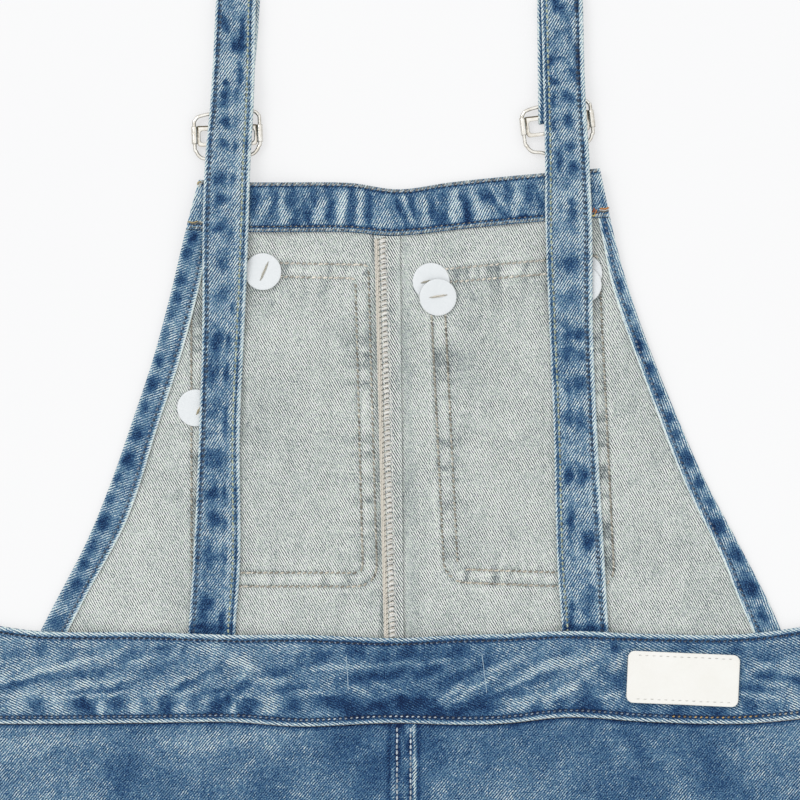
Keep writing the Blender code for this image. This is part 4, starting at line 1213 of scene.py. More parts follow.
def bib_top_facing():
    def from_top(down, y):
        middle = y > hem_edge(0) + TOP_HEM / 2
        return np.where(middle, down, TOP_HEM - down)

    def relief(x, y, across, down):
        below = from_top(down, y)
        lift = 0.22 * np.clip(faded(x, y, TOP_HEM_FADES), -1, 1) + 0.08 * noise(x, y, 5, 71)
        for row in TOP_HEM_ROWS:
            lift -= 0.3 * near(below - row, 0.8)
        return lift * ease(np.minimum(down, across) / 1.2)

    def wear(x, y, across, down):
        below = from_top(down, y)
        within = ease((below - 1.5) / 2) * ease((TOP_HEM - 2.4 - below) / 2)
        tone = 0.46 + 0.31 * faded(x, y, TOP_HEM_FADES) * within + 0.06 * noise(x, y, 7, 72)
        tone += 0.05 * noise(x, y, 3, 73)
        # The pale lines are worn rims at the folds and the ends; the dark line right at the lower edge is
        # painted shadow.
        tone += 0.2 * near(down - 1.2, 0.9) + 0.25 * near(across, 1.2) - 0.25 * near(down, 0.5) * (below > 9)
        # Darker along the stitch rows: partly painted shade in their grooves, partly less worn cloth.
        for row, depth in zip(TOP_HEM_ROWS, (0.3, 0.4)):
            tone -= depth * near(below - row, 0.8)
        for corner in HEM_CORNERS:
            tone += corner.wear * near(x - corner.x, corner.length) * near(y - corner.y, corner.width)
        return tone

    node = "bib_top_facing"
    made = laid(node, top_hem_place, (222, TOP_HEM), 0.85, ["top_hem"], relief, wear, rim=0.55, blur=4)
    threads = Threads(node)
    u = np.linspace(0.006, 0.994, 300)
    rows = [threads.lay(*top_hem_place(u, np.full(300, 1 - below / TOP_HEM))) for below in TOP_HEM_ROWS]
    for number, (path, raised, dye, gap) in enumerate(zip(rows, (0.7, 0.0), ("pearl", "bark"), (1.0, 2.0))):
        threads.row(path, "navy", 0.6, 0.9, seed=74 + number, uneven=0.3, slant=0.35, lift=0.5)
        threads.row(path[2:] + (0, raised, 0), dye, 0.7, gap, seed=76 + number, uneven=0.25, slant=0.6)
    for number, below in enumerate(ROPE_ROWS):
        path = threads.lay(*top_hem_place(u, np.full(300, 1 - below / TOP_HEM)))
        threads.row(path, "ash", 1.0, 0.5, seed=78 + number, uneven=0.3, slant=0.9, lift=0.35, pitch=2.1)
    for strand in CORNER_STRANDS:
        share = np.linspace(-0.5, 0.5, 8)
        along, aside = turned(strand.length * share, 0.3 * np.sin(7 * share + strand.x), -strand.turn)
        path = threads.lay(strand.x + along, strand.y + aside)
        path[:, 2] += 0.1 + 0.2 * np.cos(share * math.pi)
        threads.tube(path, strand.thick / 2, linear(THREADS[strand.dye]))
    threads.piece()


FACING_FADES = {
    "left": table_of(
        Fade,
        (-114.1, 218.4, 4.4, 3.0, 70, -1.1), (-118.0, 209.6, 3.8, 2.6, 70, -0.8),
        (-121.6, 195.3, 4.2, 2.6, 66, -0.85), (-123.8, 185.6, 3.6, 2.4, 70, -0.8),
        (-127.1, 176.0, 3.6, 2.6, 70, -0.4), (-129.8, 166.1, 4.2, 2.8, 64, -0.5),
        (-133.9, 150.2, 4.0, 2.6, 70, -0.8), (-137.0, 138.1, 5.2, 3.4, 66, -0.95),
        (-141.9, 125.4, 3.8, 2.6, 70, -0.8), (-145.8, 110.8, 5.4, 3.4, 64, -1.0),
        (-150.2, 96.3, 5.8, 3.8, 66, -1.0), (-156.2, 86.4, 3.8, 2.6, 60, -0.8),
        (-160.3, 74.8, 3.8, 2.8, 60, -0.8), (-163.9, 62.2, 5.6, 3.6, 66, -1.0),
        (-169.7, 48.7, 4.4, 3.0, 60, -0.85), (-174.6, 38.7, 4.0, 2.6, 60, -0.8),
        (-178.5, 28.1, 4.2, 3.0, 56, -0.85), (-184.4, 20.4, 4.6, 3.2, 50, -0.45),
        (-189, 8, 4.6, 3.4, 50, -0.6),
    ),
    "right": table_of(
        Fade,
        (110.8, 223.9, 4.6, 2.6, 96, -1.0), (114.6, 206, 3.6, 2.0, 100, -0.4),
        (119.9, 192.0, 3.8, 2.2, 106, -0.8), (124.9, 178.2, 3.6, 2.2, 110, -0.8),
        (128.9, 167.8, 3.4, 2.2, 110, -0.8), (130.5, 159.0, 4.6, 2.6, 106, -1.0),
        (136.4, 147.4, 3.6, 2.4, 112, -0.8), (141.7, 133.1, 3.8, 2.4, 112, -0.8),
        (147.2, 119.4, 3.8, 2.6, 114, -0.8), (150.9, 110.2, 3.4, 2.4, 116, -0.7),
        (157.1, 96.5, 5.2, 3.2, 116, -1.0), (163.9, 84.2, 3.8, 2.6, 118, -0.8),
        (169.4, 72.6, 3.8, 2.6, 118, -0.8), (173.8, 60.5, 5.2, 3.4, 116, -1.0),
        (183.7, 44.6, 5.6, 3.4, 120, -1.0), (191.1, 25.9, 6.6, 4.0, 120, -1.1),
        (197.9, 11.0, 4.6, 3.0, 124, -0.85),
    ),
}
FACING_ROW = 3.4  # how far from a facing's inner edge its stitches run


def bib_side_facing(side):
    inwards, seed = {"left": (1, 80), "right": (-1, 90)}[side]
    head = BIB_TOP[0].y - TOP_HEM
    corner, narrow = (curve(table, side, head) for table in (BIB_SIDES, FACINGS))
    foot, wide = (getattr(table[0], side) for table in (BIB_SIDES, FACINGS))

    def place(u, v):
        end = hem_edge(corner + inwards * u * narrow) - GAP
        y = lerp(bib_foot(foot + inwards * u * wide), end, v)
        return curve(BIB_SIDES, side, y) + inwards * u * curve(FACINGS, side, y), y

    def inner(x, y):
        """How far a place is from the facing's inner edge."""
        return curve(FACINGS, side, y) - inwards * (x - curve(BIB_SIDES, side, y))

    def relief(x, y, across, down):
        lift = 0.2 * np.maximum(-1, faded(x, y, FACING_FADES[side])) + 0.1 * noise(x, y, 5, seed)
        return (lift - 0.32 * near(inner(x, y) - FACING_ROW, 0.9)) * ease(across / 1.2)

    def wear(x, y, across, down):
        to_inner = inner(x, y)
        to_outer = curve(FACINGS, side, y) - to_inner
        tone = 0.5 + 0.36 * np.maximum(-1.1, faded(x, y, FACING_FADES[side]))
        tone += 0.06 * (x > 0) * ease((y - 140) / 60)
        tone += 0.06 * noise(x, y, 9, seed + 1) + 0.06 * noise(x, y, 2.6, seed + 2)
        # Darker along the stitch row: partly painted shade in its groove, partly less worn cloth.
        tone -= (0.14 + 0.12 * noise(y, x, 2.2, seed + 5)) * near(to_inner - FACING_ROW, 1.3)
        return tone + 0.5 * near(to_inner - 0.3, 1.1) + 0.2 * near(to_outer - 0.5, 1.1)

    node = f"bib_facing_{side}"
    made = laid(node, place, (15, 236), 0.95, [f"facing_{side}"], relief, wear, rim=0.55, blur=4)
    threads = Threads(node)
    v = np.linspace(0.004, 0.996, 240)
    y = place(np.full(240, 0.8), v)[1]
    path = threads.lay(*place(1 - FACING_ROW / curve(FACINGS, side, y), v))
    threads.row(path, "brown", 0.85, 1.2, seed=seed + 3, uneven=0.3, slant=0.5)
    threads.row(path[2:] + (0.6, 0, 0), "navy", 0.55, 1.6, seed=seed + 4, uneven=0.3)
    threads.row(path[5:] - (0.6, 0, 0), "frost", 0.5, 2.1, seed=seed + 6, uneven=0.3)
    threads.piece()


Tack = namedtuple("Tack", "number x y length turn dye")
TACKS = table_of(
    Tack,
    (1, 0.9, 0.3, 12.6, 67, "sand"), (2, -2.9, -0.3, 6.4, 14, "bark"), (3, 0.2, 0.6, 11.2, 9, "cream"),
    (4, 0, 0, 8, 20, "tan"), (5, 3.5, 1, 6, 60, "tan"), (6, 2, -1, 7, 60, "tan"),
)


Offset = namedtuple("Offset", "side reach")  # reach is a share of the tack's length
TACK_STRANDS = table_of(Offset, (-0.4, 0.7), (-0.15, 1.0), (0.0, 0.9), (0.25, 0.95), (0.45, 0.6))
Ring = namedtuple("Ring", "radius height")
DISC_RINGS = table_of(
    Ring,
    (10.2, 0.0), (10.12, 0.28), (9.85, 0.4), (9.0, 0.42), (6.0, 0.4), (3.0, 0.34), (1.2, 0.24),
)
DISC_SIDES = 56


def disc_faces(sides, rings):
    """The faces between two stacks of rings, upper and lower, whose innermost rings each have a middle point.
    The lower stack starts at the second ring, half a turn on."""
    under, opposite = rings * sides, sides // 2
    tip = 2 * under - sides
    faces = []
    for i in range(sides):
        j = (i + 1) % sides
        for low in range(0, under - sides, sides):
            faces.append((low + i, low + j, low + sides + j, low + sides + i))
        faces.append((under - sides + i, under - sides + j, tip))
        faces.append((i, under + (i + opposite) % sides, under + (j + opposite) % sides, j))
        for low in range(under, tip - sides, sides):
            faces.append((low + i, low + sides + i, low + sides + j, low + j))
        faces.append((tip - sides + j, tip - sides + i, tip + 1))
    return faces


def backing_discs():
    """The white rounds, each with a tack of thread."""
    for tack in TACKS:
        node = f"backing_disc_{tack.number}"
        points = solid(node)[0]
        middle = (points.max(axis=0) + points.min(axis=0)) / 2
        normal = np.linalg.svd(points - points.mean(axis=0))[2][2]
        normal *= math.copysign(1, normal[2])
        across = np.cross((0, 1, 0), normal)
        across /= np.linalg.norm(across)
        along = np.cross(normal, across)

        def aside(angle):
            return across * math.cos(angle) + along * math.sin(angle)

        top = [
            middle + radius * aside(step * 2 * math.pi / DISC_SIDES) + normal * height
            for radius, height in DISC_RINGS
            for step in range(DISC_SIDES)
        ]
        bottom = [2 * middle - point for point in top[DISC_SIDES:]]
        points = top + bottom + [middle + normal * 0.22, middle - normal * 0.22]
        rng = np.random.default_rng(100 + tack.number)
        wear = {"wear": 0.6 + rng.normal(0, 0.05, len(points))}
        faces = disc_faces(DISC_SIDES, len(DISC_RINGS))
        made = mesh_object(f"round_{node}", points, faces, ["backing"], wear)
        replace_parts(made, node)
        threads = Threads(node)
        way = aside(math.radians(tack.turn))
        side = np.cross(normal, way)
        start = middle + across * tack.x + along * tack.y + normal * 0.45
        for strand, reach in TACK_STRANDS:
            share = np.linspace(-0.5, 0.5, 9)
            lift = 0.25 * np.cos(share * math.pi) ** 0.5 - 0.1 + 0.12 * (strand == 0.0)
            way_off = strand * (0.6 + 1.6 * np.abs(share)) + 0.14 * np.sin(9 * share + 5 * strand)
            path = [
                start + way * tack.length * reach * s + side * off + normal * h
                for s, off, h in zip(share, way_off, lift)
            ]
            dye = "bark" if strand == 0.0 else tack.dye
            threads.tube(path, TACK_RADIUS, linear(THREADS[dye]) * rng.uniform(0.85, 1.15), normal)
        threads.piece("backing")


# ---------------------------------------------------------------- straps


TAPER_START, TAPER = 425, 18  # where a strap comes to the width of its front run, and over what length


def strap_line(side, buckle):
    """The middle of a strap's wall: across, along, height and the share of the buckle's turn, row by row.
    Then its width, the way that its upper face looks, and how many rows its back run has."""
    table = STRAPS[side]
    bend = buckle.y + LOOP_SHIFT
    crest = SHOULDER - SHOULDER_BEND - STRAP_WALL / 2

    def front(y, height, skew):
        return np.column_stack([curve(table, "front", y), y, np.broadcast_to(height, len(y)), skew])

    def bent(middle, bottom, radius, way, skew):
        angle = math.pi * (0.5 + way * np.linspace(0, 1, 13)[1:-1])
        return front(middle + radius * np.cos(angle), bottom + radius * np.sin(angle), np.full(11, skew))

    back_y = np.concatenate([STRAP_END + RIM_STEPS, np.arange(STRAP_END + 1, crest, 1.6), [crest]])
    read = np.clip(back_y, STRAP_END + 1, crest - 0.5)
    top = filled(cast(solid(f"strap_{side}")[1], curve(table, "back", read), read)[None, :])
    height = blurred(top, 4)[0] - STRAP_WALL / 2
    front_height = float(level(FRONT_RUN, crest - bend))
    radius = (height[-1] - front_height) / 2
    front_y = np.linspace(crest, bend, round((crest - bend) / 1.8) + 1)
    tail_y = np.concatenate([np.arange(bend, bend + TAIL - 1, 1.8), bend + TAIL - RIM_STEPS[::-1]])
    line = np.concatenate([
        np.column_stack([curve(table, "back", back_y), back_y, height, np.zeros(len(back_y))]),
        bent(crest, front_height + radius, radius, -1, 0.0),
        front(front_y, level(FRONT_RUN, front_y - bend), ease(1 - (front_y - bend) / SKEW_FADE)),
        bent(bend, WIRE_LEVEL, SLIDER_BEND, 1, 1.0),
        front(tail_y, STRAP_WALL / 2, ease(1 - (tail_y - bend) / SKEW_FADE)),
    ])
    is_back = np.arange(len(line)) < len(back_y)
    width = np.where(is_back, curve(table, "width", line[:, 1]), FRONT_RUN_WIDTH)
    width = np.where(is_back, lerp(width, FRONT_RUN_WIDTH, ease((line[:, 1] - TAPER_START) / TAPER)), width)
    run = np.gradient(line[:, 1:3], axis=0)
    run /= np.linalg.norm(run, axis=1)[:, None]
    normal = np.column_stack([np.zeros(len(line)), -run[:, 1], run[:, 0]])
    return line, width, normal, len(back_y)


# How far in from a strap's left and right edge its stitches run, and the line where the edge folds under.
StrapRow = namedtuple("StrapRow", "groove stitches dye")
STRAP_ROWS = {
    "left": (StrapRow(1.7, 2.8, "moss"), StrapRow(2.6, 4.1, "olive")),
    "right": (StrapRow(1.6, 3.0, "olive"), StrapRow(2.8, 3.9, "moss")),
}


STRAP_STITCHES = {"olive": (1.0, 0.6), "moss": (0.85, 0.9)}  # how thick each is, and the gap to the next


STRAP_FADES_END = 302  # past which no fades are listed
STRAP_THREAD_LEVEL = 0.76  # how far above the middle of a strap's wall its threads lie
SEWN_SHARE = 0.2  # the share of the front run whose threads are made


def strap(side, buckle):
    line, width, normal, back_rows = strap_line(side, buckle)
    skew = line[:, 3] * math.tan(math.radians(buckle.turn))
    columns = stations(23, 1.0, 1.0) - 0.5
    across = columns[None, :] * width[:, None]
    middle = np.stack(
        [
            line[:, 0, None] + across,
            line[:, 1, None] + across * skew[:, None],
            np.repeat(line[:, 2, None], len(columns), axis=1),
        ],
        axis=-1,
    )
    run = np.concatenate([[0], np.cumsum(np.linalg.norm(np.diff(line[:, :3], axis=0), axis=1))])
    along = np.repeat(run[:, None], len(columns), axis=1)
    to_edge = width[:, None] / 2 - np.abs(across)
    full = rounding(np.minimum(to_edge, np.minimum(along, run[-1] - along)), 1.0)
    rows = STRAP_ROWS[side]
    from_sides = (width[:, None] / 2 + across, width[:, None] / 2 - across)
    groove = sum(near(away - row.groove, 0.55) for away, row in zip(from_sides, rows))
    rim = sum(ease((row.groove - 0.2 - away) / 0.9) for away, row in zip(from_sides, rows))
    trough = groove + 0.6 * sum(near(away - row.stitches, 0.7) for away, row in zip(from_sides, rows))
    seed = {"left": 201, "right": 301}[side]
    is_back = (np.arange(len(line)) < back_rows)[:, None]
    x, y = middle[..., 0], middle[..., 1]
    away = ~is_back | (y > STRAP_FADES_END)
    blots = faded(x, y, STRAP_FADES[side]) * is_back
    blots = blots - away * np.maximum(0.0, 1.3 * noise(along / 7, across / 4, 1.0, seed + 9))
    puffed = 0.12 * near(to_edge - 0.9, 0.9) - 0.3 * trough
    ripple = 0.14 * np.maximum(blots, -1.2) + 0.1 * noise(along, across, 6, seed + 1)
    half = (STRAP_WALL / 2 + puffed + ripple * ease(to_edge / 3)) * full
    half_under = (STRAP_WALL / 2 - 0.25 * trough) * full
    top = middle + normal[:, None] * half[..., None]
    bottom = middle - normal[:, None] * half_under[..., None]
    # Painted shadow: the back run darkens below 8 mm, just above the waistband's edge, which shades it.
    tone = 0.5 - 0.3 * is_back * ease((8 - y) / 3) + 0.37 * blots * ease((to_edge - 2) / 2)
    tone += 0.07 * noise(along, across, 5, seed + 2) + 0.07 * noise(along, across, 2.1, seed + 8)
    tone += 0.05 * noise(along, across * 0.5, 18, seed + 3) + 0.08 * near(across - 7, 2.4)
    # The pale rims are worn folds; the dark line along each groove is partly painted shade in it, partly less
    # worn cloth.
    tone += 0.36 * rim - 0.4 * groove
    cloth = np.stack([across, along, np.zeros_like(across)], axis=-1)
    node = f"strap_{side}"
    made = shell(f"cloth_{node}", node, top, bottom, (tone, tone + 0.05), cloth, ["strap"])

    threads = Threads(node)
    for number, (hand, (inset, stitches, dye)) in enumerate(zip((-1, 1), rows)):
        offset = hand * (width / 2 - stitches)
        path = np.column_stack([line[:, 0] + offset, line[:, 1] + offset * skew, line[:, 2]])
        path += normal * STRAP_THREAD_LEVEL
        speckled = path[4:back_rows] + (-0.75 * hand, 0, 0.0)
        beside = path[3:back_rows] + (hand * (stitches - inset), 0, -0.08)
        outer = path[back_rows + 12 :: 3][: round((len(line) - back_rows) * SEWN_SHARE)]
        start = seed + number
        threads.row(path[3:back_rows], dye, *STRAP_STITCHES[dye], seed=start + 5, uneven=0.22, slant=0.4)
        threads.row(speckled, "plum", 0.62, 1.1, seed=start + 25, uneven=0.3, slant=0.3, lift=0.6)
        # A navy thread along each groove: partly painted shade in the groove, partly its darker cloth.
        threads.row(beside, "navy", 0.7, 0.7, seed=start + 15, uneven=0.2, slant=0.2, lift=0.5)
        threads.row(outer, dye, 0.66, 0.55, seed=start + 7, uneven=0.22, up=-1)
    threads.piece()


# ---------------------------------------------------------------- metal


Station = namedtuple("Station", "number x y")


def wire_points(buckle):
    """A buckle's wire loop, round from the middle of its top."""
    half = [(0.0, WIRE_TOP)] + [(buckle.half - bend.inside, bend.y) for bend in WIRE_BENDS]
    half += [*WIRE_NECK, (LOOP_RADIUS, LOOP_MIDDLE)]
    table = [Station(number, *place) for number, place in enumerate(half)]
    fine = np.linspace(0, len(half) - 1, 6 * (len(half) - 1) + 1)
    half = list(zip(curve(table, "x", fine), curve(table, "y", fine)))
    for angle in math.pi / 2 * np.linspace(0, 1, 11)[1:]:
        half.append((LOOP_RADIUS * math.cos(angle), LOOP_MIDDLE - LOOP_RADIUS * math.sin(angle)))
    points = np.array(half + [(-x, y) for x, y in reversed(half[1:-1])])
    skewed = ease((points[:, 1] - LOOP_MIDDLE - LOOP_RADIUS) / SKEW_RISE)
    points[:, 1] += (buckle.slide + WIRE_SKEW * points[:, 0]) * skewed
    return points


def buckle_wire(buckle, sides=14):
    placed = set_down(wire_points(buckle), buckle, buckle.turn)
    run = np.roll(placed, -1, axis=0) - np.roll(placed, 1, axis=0)
    run /= np.linalg.norm(run, axis=1)[:, None]
    out = np.column_stack([run[:, 1], -run[:, 0], np.zeros(len(run))])
    centre = np.column_stack([placed, np.full(len(placed), WIRE_LEVEL)])
    ring = circle(out, np.array([(0, 0, 1.0)]), sides)
    vertices = (centre[:, None] + ring * WIRE / 2).reshape(-1, 3)
    turn = np.arange(sides) * 2 * math.pi / sides
    # Painted shade: the wire darkens towards its two sides.
    wear = {"wear": np.tile(-0.5 * np.abs(np.cos(turn)) ** 5, len(placed))}
    node = f"buckle_wire_{buckle.side}"
    faces = hoop(len(placed), sides)
    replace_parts(mesh_object(f"bent_{node}", vertices, faces, ["nickel"], wear), node)


def hoop(rings, sides, first=0):
    """The faces of a closed hoop: its rings follow one another, and the last one joins the first."""
    faces = []
    for i in range(rings):
        low, high = first + i * sides, first + (i + 1) % rings * sides
        for j in range(sides):
            k = (j + 1) % sides
            faces.append((low + k, high + k, high + j, low + j))
    return faces


# dark is painted shade on the plate's rims: a dark line along its top edge, and a little round its other
# edges and its opening.
Rim = namedtuple("Rim", "opening inset z dark")
PLATE_RIMS = table_of(  # round the plate's section: how far in from its edge, or out from its opening
    Rim,
    (False, 0.25, -0.65, 0.0), (False, 0.0, -0.45, 0.6), (False, 0.0, 0.35, 0.6), (False, 0.2, 0.6, 0.6),
    (False, 0.75, 0.6, 0.6), (False, 0.85, 0.65, 0.0), (True, 0.7, 0.65, 0.0), (True, 0.25, 0.58, 0.0),
    (True, 0.0, 0.35, 0.25), (True, 0.0, -0.45, 0.25), (True, 0.25, -0.65, 0.0),
)
PLATE_HIDDEN = 1.5  # how far inside the sleeves' middles the plate ends, within their walls
Outline = namedtuple("Outline", "inset low high corners")
PLATE_OUTSIDE = Outline(PLATE_HIDDEN, PLATE_BOTTOM, PLATE_TOP, PLATE_CORNERS)
PLATE_INSIDE = Outline(OPENING_INSET, OPENING_BOTTOM, OPENING_TOP, OPENING_CORNERS)
# dark is painted shade in the ends of the rolled sleeves, darkest at the bore.
Section = namedtuple("Section", "radius share dark")  # share is that of half the sleeve's length
SLEEVE_SECTIONS = table_of(
    Section,
    (SLEEVE_BORE, 1.0, 0.5), (SLEEVE_OUTER - 0.2, 1.0, 0.35), (SLEEVE_OUTER, 0.96, 0), (SLEEVE_OUTER, 0.7, 0),
    (SLEEVE_OUTER, -0.7, 0), (SLEEVE_OUTER, -0.96, 0), (SLEEVE_OUTER - 0.2, -1.0, 0.45),
    (SLEEVE_BORE, -1.0, 0.6),
)


def buckle_slider(buckle, sides=24):
    """The plate with its wide opening, and the sleeve that is rolled round the wire on each side."""
    rings = []
    for rim in PLATE_RIMS:
        inset, low, high, corners = PLATE_INSIDE if rim.opening else PLATE_OUTSIDE
        grow = rim.inset if rim.opening else -rim.inset
        corners = [max(0.05, corner + grow) for corner in corners]
        outline = rounded_outline(2 * (buckle.half - inset + grow), high - low + 2 * grow, corners)[:-1]
        outline[:, 1] += (low + high) / 2
        rings.append(np.column_stack([outline, np.full(len(outline), rim.z)]))
    points = np.concatenate(rings)
    # Painted shade: the rims darken fully along the plate's top edge, and to 0.35 of that elsewhere.
    top_edge = points[:, 1] > PLATE_TOP - 1.2
    dark = np.repeat([rim.dark for rim in PLATE_RIMS], len(rings[0]))
    wear = [-dark * np.where(top_edge, 1.0, 0.35)]
    faces = [face[::-1] for face in hoop(len(rings), len(rings[0]))]
    turn = np.arange(sides) * 2 * math.pi / sides
    for end in (-1, 1):
        sleeve = np.array([
            (
                end * buckle.half + section.radius * math.cos(angle),
                section.share * SLEEVE_LENGTH / 2,
                section.radius * math.sin(angle),
            )
            for section in SLEEVE_SECTIONS
            for angle in turn
        ])
        faces += hoop(len(SLEEVE_SECTIONS), sides, len(points))
        points = np.concatenate([points, sleeve])
        # Painted shade at the sleeves' ends.
        wear.append(np.repeat([-section.dark for section in SLEEVE_SECTIONS], sides))
    placed = set_down(points, buckle, buckle.turn)
    placed = np.column_stack([placed, points[:, 2] + WIRE_LEVEL])
    node = f"buckle_slider_{buckle.side}"
    wear = {"wear": np.concatenate(wear)}
    made = mesh_object(f"stamped_{node}", placed, faces, ["nickel"], wear)
    made.data.set_sharp_from_angle(angle=math.radians(50))
    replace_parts(made, node)


METAL_WELD, METAL_BEVEL = 0.000005, 0.00018  # metres


def polished(node):
    """A metal node of the part, with its edges rounded off and the metal's finish."""
    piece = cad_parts[node]
    piece.data.materials.clear()
    piece.data.materials.append(MATERIALS["nickel"])
    weld = piece.modifiers.new("Weld", "WELD")
    weld.merge_threshold = METAL_WELD
    bevel = piece.modifiers.new("Rounded edges", "BEVEL")
    bevel.width = METAL_BEVEL
    bevel.segments = 3
    bevel.limit_method = "ANGLE"
    bevel.angle_limit = math.radians(38)
    bevel.harden_normals = True
    piece.data.shade_smooth()


# ---------------------------------------------------------------- waistbands and patch

BAND_ROWS = (3.4, 3.6)  # how far from the top and the bottom edge the waistband's stitches run
Stretch = namedtuple("Stretch", "start end dye")
BOTTOM_ROW = table_of(  # the dyes of the lower row, from the left
    Stretch,
    (-BAND_END, -60, "slate"), (-60, 20, "frost"), (20, 147, "slate"), (147, 196, "gold"),
    (196, BAND_END, "sand"),
)
Ends = namedtuple("Ends", "top bottom")
BAND_TACKS = table_of(Ends, ((-30.6, -11), (-29.4, -30.8)), ((43.8, -9.4), (46.6, -31.9)))  # upright threads
BAND_TACK_DYE = (176, 200, 214)


def band_place(u, v):
    x = lerp(-BAND_END, BAND_END, u)
    return x, lerp(band_edge(x, "bottom"), band_edge(x, "top"), v)


def waistband_back():
    def edges(x, y):
        """How far a place is below the band's top edge and above its bottom edge."""
        return band_edge(x, "top") - y, y - band_edge(x, "bottom")

    def relief(x, y, across, down):
        above, below = edges(x, y)
        lift = 0.2 * np.clip(faded(x, y, BAND_FADES), -1, 1) + 0.1 * noise(x, y, 6, 111)
        lift -= 0.32 * near(above - BAND_ROWS[0], 0.9) + 0.32 * near(below - BAND_ROWS[1], 0.9)
        return lift * ease(np.minimum(down, across) / 1.4)

    def wear(x, y, across, down):
        above, below = edges(x, y)
        tone = 0.467 + 0.33 * np.clip(faded(x, y, BAND_FADES), -1.1, 1.1)
        tone -= 0.1 * near(x - 2, 60) - 0.03 * near(x + 200, 50) + 0.025 * ease((x - 60) / 60)
        tone += 0.05 * streaks(x, y, 22, 3.5, 20, 112) + 0.04 * noise(x, y, 5, 113)
        tone += 0.36 * near(above - 0.7, 1.2) + 0.34 * near(below - 0.7, 0.85)
        # Darker along the stitch rows: partly painted shade in their grooves, partly less worn cloth.
        tone -= 0.42 * near(above - BAND_ROWS[0], 0.9) + 0.4 * near(below - BAND_ROWS[1], 1.2)
        return tone + 0.3 * near(across, 1.5)

    node = "waistband_back"
    made = laid(node, band_place, (2 * BAND_END, 50), 1.3, ["band"], relief, wear, rim=1.0, blur=8)
    threads = Threads(node)
    x = np.linspace(-BAND_END + 1, BAND_END - 1, 700)
    top = threads.lay(x, band_edge(x, "top") - BAND_ROWS[0])
    bottom = threads.lay(x, band_edge(x, "bottom") + BAND_ROWS[1])
    threads.row(top, "navy", 0.9, 0.5, seed=114, uneven=0.25, slant=0.7)
    threads.row(top[2:] - (0, 0.4, 0), "slate", 0.65, 1.7, seed=115, uneven=0.25, slant=-0.3)
    for number, (start, end, dye) in enumerate(BOTTOM_ROW):
        part = bottom[(x > start) & (x <= end)]
        threads.row(part, dye, 0.75, 1.5, seed=116 + number, uneven=0.25, slant=0.45)
    # Navy threads on both sides of the lower row: partly painted shade of its sunken stitches, partly the
    # darker cloth beside them.
    for shift in (-0.75, 0.7):
        threads.row(bottom + (0, shift, 0), "navy", 0.55, 0.8, seed=125, uneven=0.2, lift=0.4)
    for ends in BAND_TACKS:
        path = threads.lay(*resampled(np.array(ends, float), 1.0).T) + (0, 0, 0.02)
        threads.tube(path, TACK_RADIUS, linear(BAND_TACK_DYE))
    threads.piece()


def waistband_front():
    def place(u, v):
        x = lerp(-BAND_END, BAND_END, u)
        return x, lerp(band_edge(x, "bottom"), band_edge(x, "top") - FRONT_BAND_DROP, v)

    def wear(x, y, across, down):
        tone = 0.5 + 0.12 * streaks(x, y, 20, 5, 20, 121) + 0.06 * noise(x, y, 6, 122)
        # The pale rims are worn edges; the dark lines along the stitch rows are partly painted shade in their
        # grooves, partly less worn cloth.
        return tone + 0.35 * near(np.minimum(down, across), 1.4) - 0.2 * near(down - 3.4, 0.9)

    made = laid("waistband_front", place, (2 * BAND_END, 46), 3.2, ["band"], None, wear, rim=1.0, blur=1)
    threads = Threads("waistband_front", up=-1)
    x = np.linspace(-BAND_END + 1, BAND_END - 1, 500)
    rows = (band_edge(x, "top") - FRONT_BAND_DROP - BAND_ROWS[0], band_edge(x, "bottom") + BAND_ROWS[1])
    for number, y in enumerate(rows):
        threads.row(threads.lay(x, y), "tan", seed=123 + number, lift=0.3)
    threads.piece()


def label_patch():
    size = (PATCH_WIDTH, PATCH_HEIGHT)
    place = plate_place(PATCH, *size, PATCH_TURN, (PATCH_CORNER, PATCH_CORNER))

    def relief(x, y, across, down):
        return 0.04 * noise(x, y, 7, 131) + 0.08 * near(np.minimum(down, across) - 1.2, 0.9)

    def wear(x, y, across, down):
        return 0.75 + 0.1 * noise(x, y, 12, 132) - 0.25 * near(np.minimum(down, across), 0.7)

    made = laid(
        "label_patch", place, size, 0.9, ["leather"], relief, wear,
        rim=0.5, blur=2, slot="leather", kind="leather",
    )
    threads = Threads("label_patch")
    x = np.linspace(-PATCH_WIDTH / 2 + 4.6, PATCH_WIDTH / 2 - 3.4, 40)
    for number, up in enumerate((-1, 1)):
        line = np.column_stack([x, np.full(40, up * (PATCH_HEIGHT / 2 - 2.3))])
        path = threads.lay(*set_down(line, PATCH, PATCH_TURN).T)
        threads.row(path, "pearl", 0.42, 2.0, seed=133 + number, lift=0.3, pitch=3.7)
    threads.piece("leather")


# ---------------------------------------------------------------- seat and legs

# Smaller creases than the part's folds. A height below 0 is a trough.
CREASES = table_of(
    Fold,
    (-30, -66, 26, 7, 0.5, 160), (40, -70, 30, 8, 0.5, 24), (-190, -150, 60, 9, 0.8, 24),
    (200, -160, 54, 10, 0.8, -30), (-40, -300, 60, 8, 1.0, -46), (46, -306, 62, 8, 1.0, 44),
    (-90, -352, 70, 9, 0.9, -14), (88, -360, 74, 9, 0.9, 12), (-200, -300, 60, 11, 0.8, 64),
    (205, -330, 66, 12, 0.8, 110), (-92, -580, 60, 7, 1.1, 24), (-180, -600, 52, 7, 1.0, -26),
    (-130, -690, 66, 8, 1.0, 8), (100, -640, 60, 8, 1.1, -26), (190, -615, 50, 7, 1.0, 24),
    (140, -700, 70, 9, 0.9, -6), (-90, -760, 40, 8, 0.7, 30), (110, -775, 44, 8, 0.7, -28),
    (-200, -880, 50, 9, 0.8, -20), (90, -905, 50, 9, 0.8, 30), (-110, -905, 54, 8, 0.8, 14),
    (205, -920, 44, 8, 0.8, 16), (-170, -1000, 40, 8, 0.6, 8), (160, -1010, 44, 8, 0.6, -10),
)
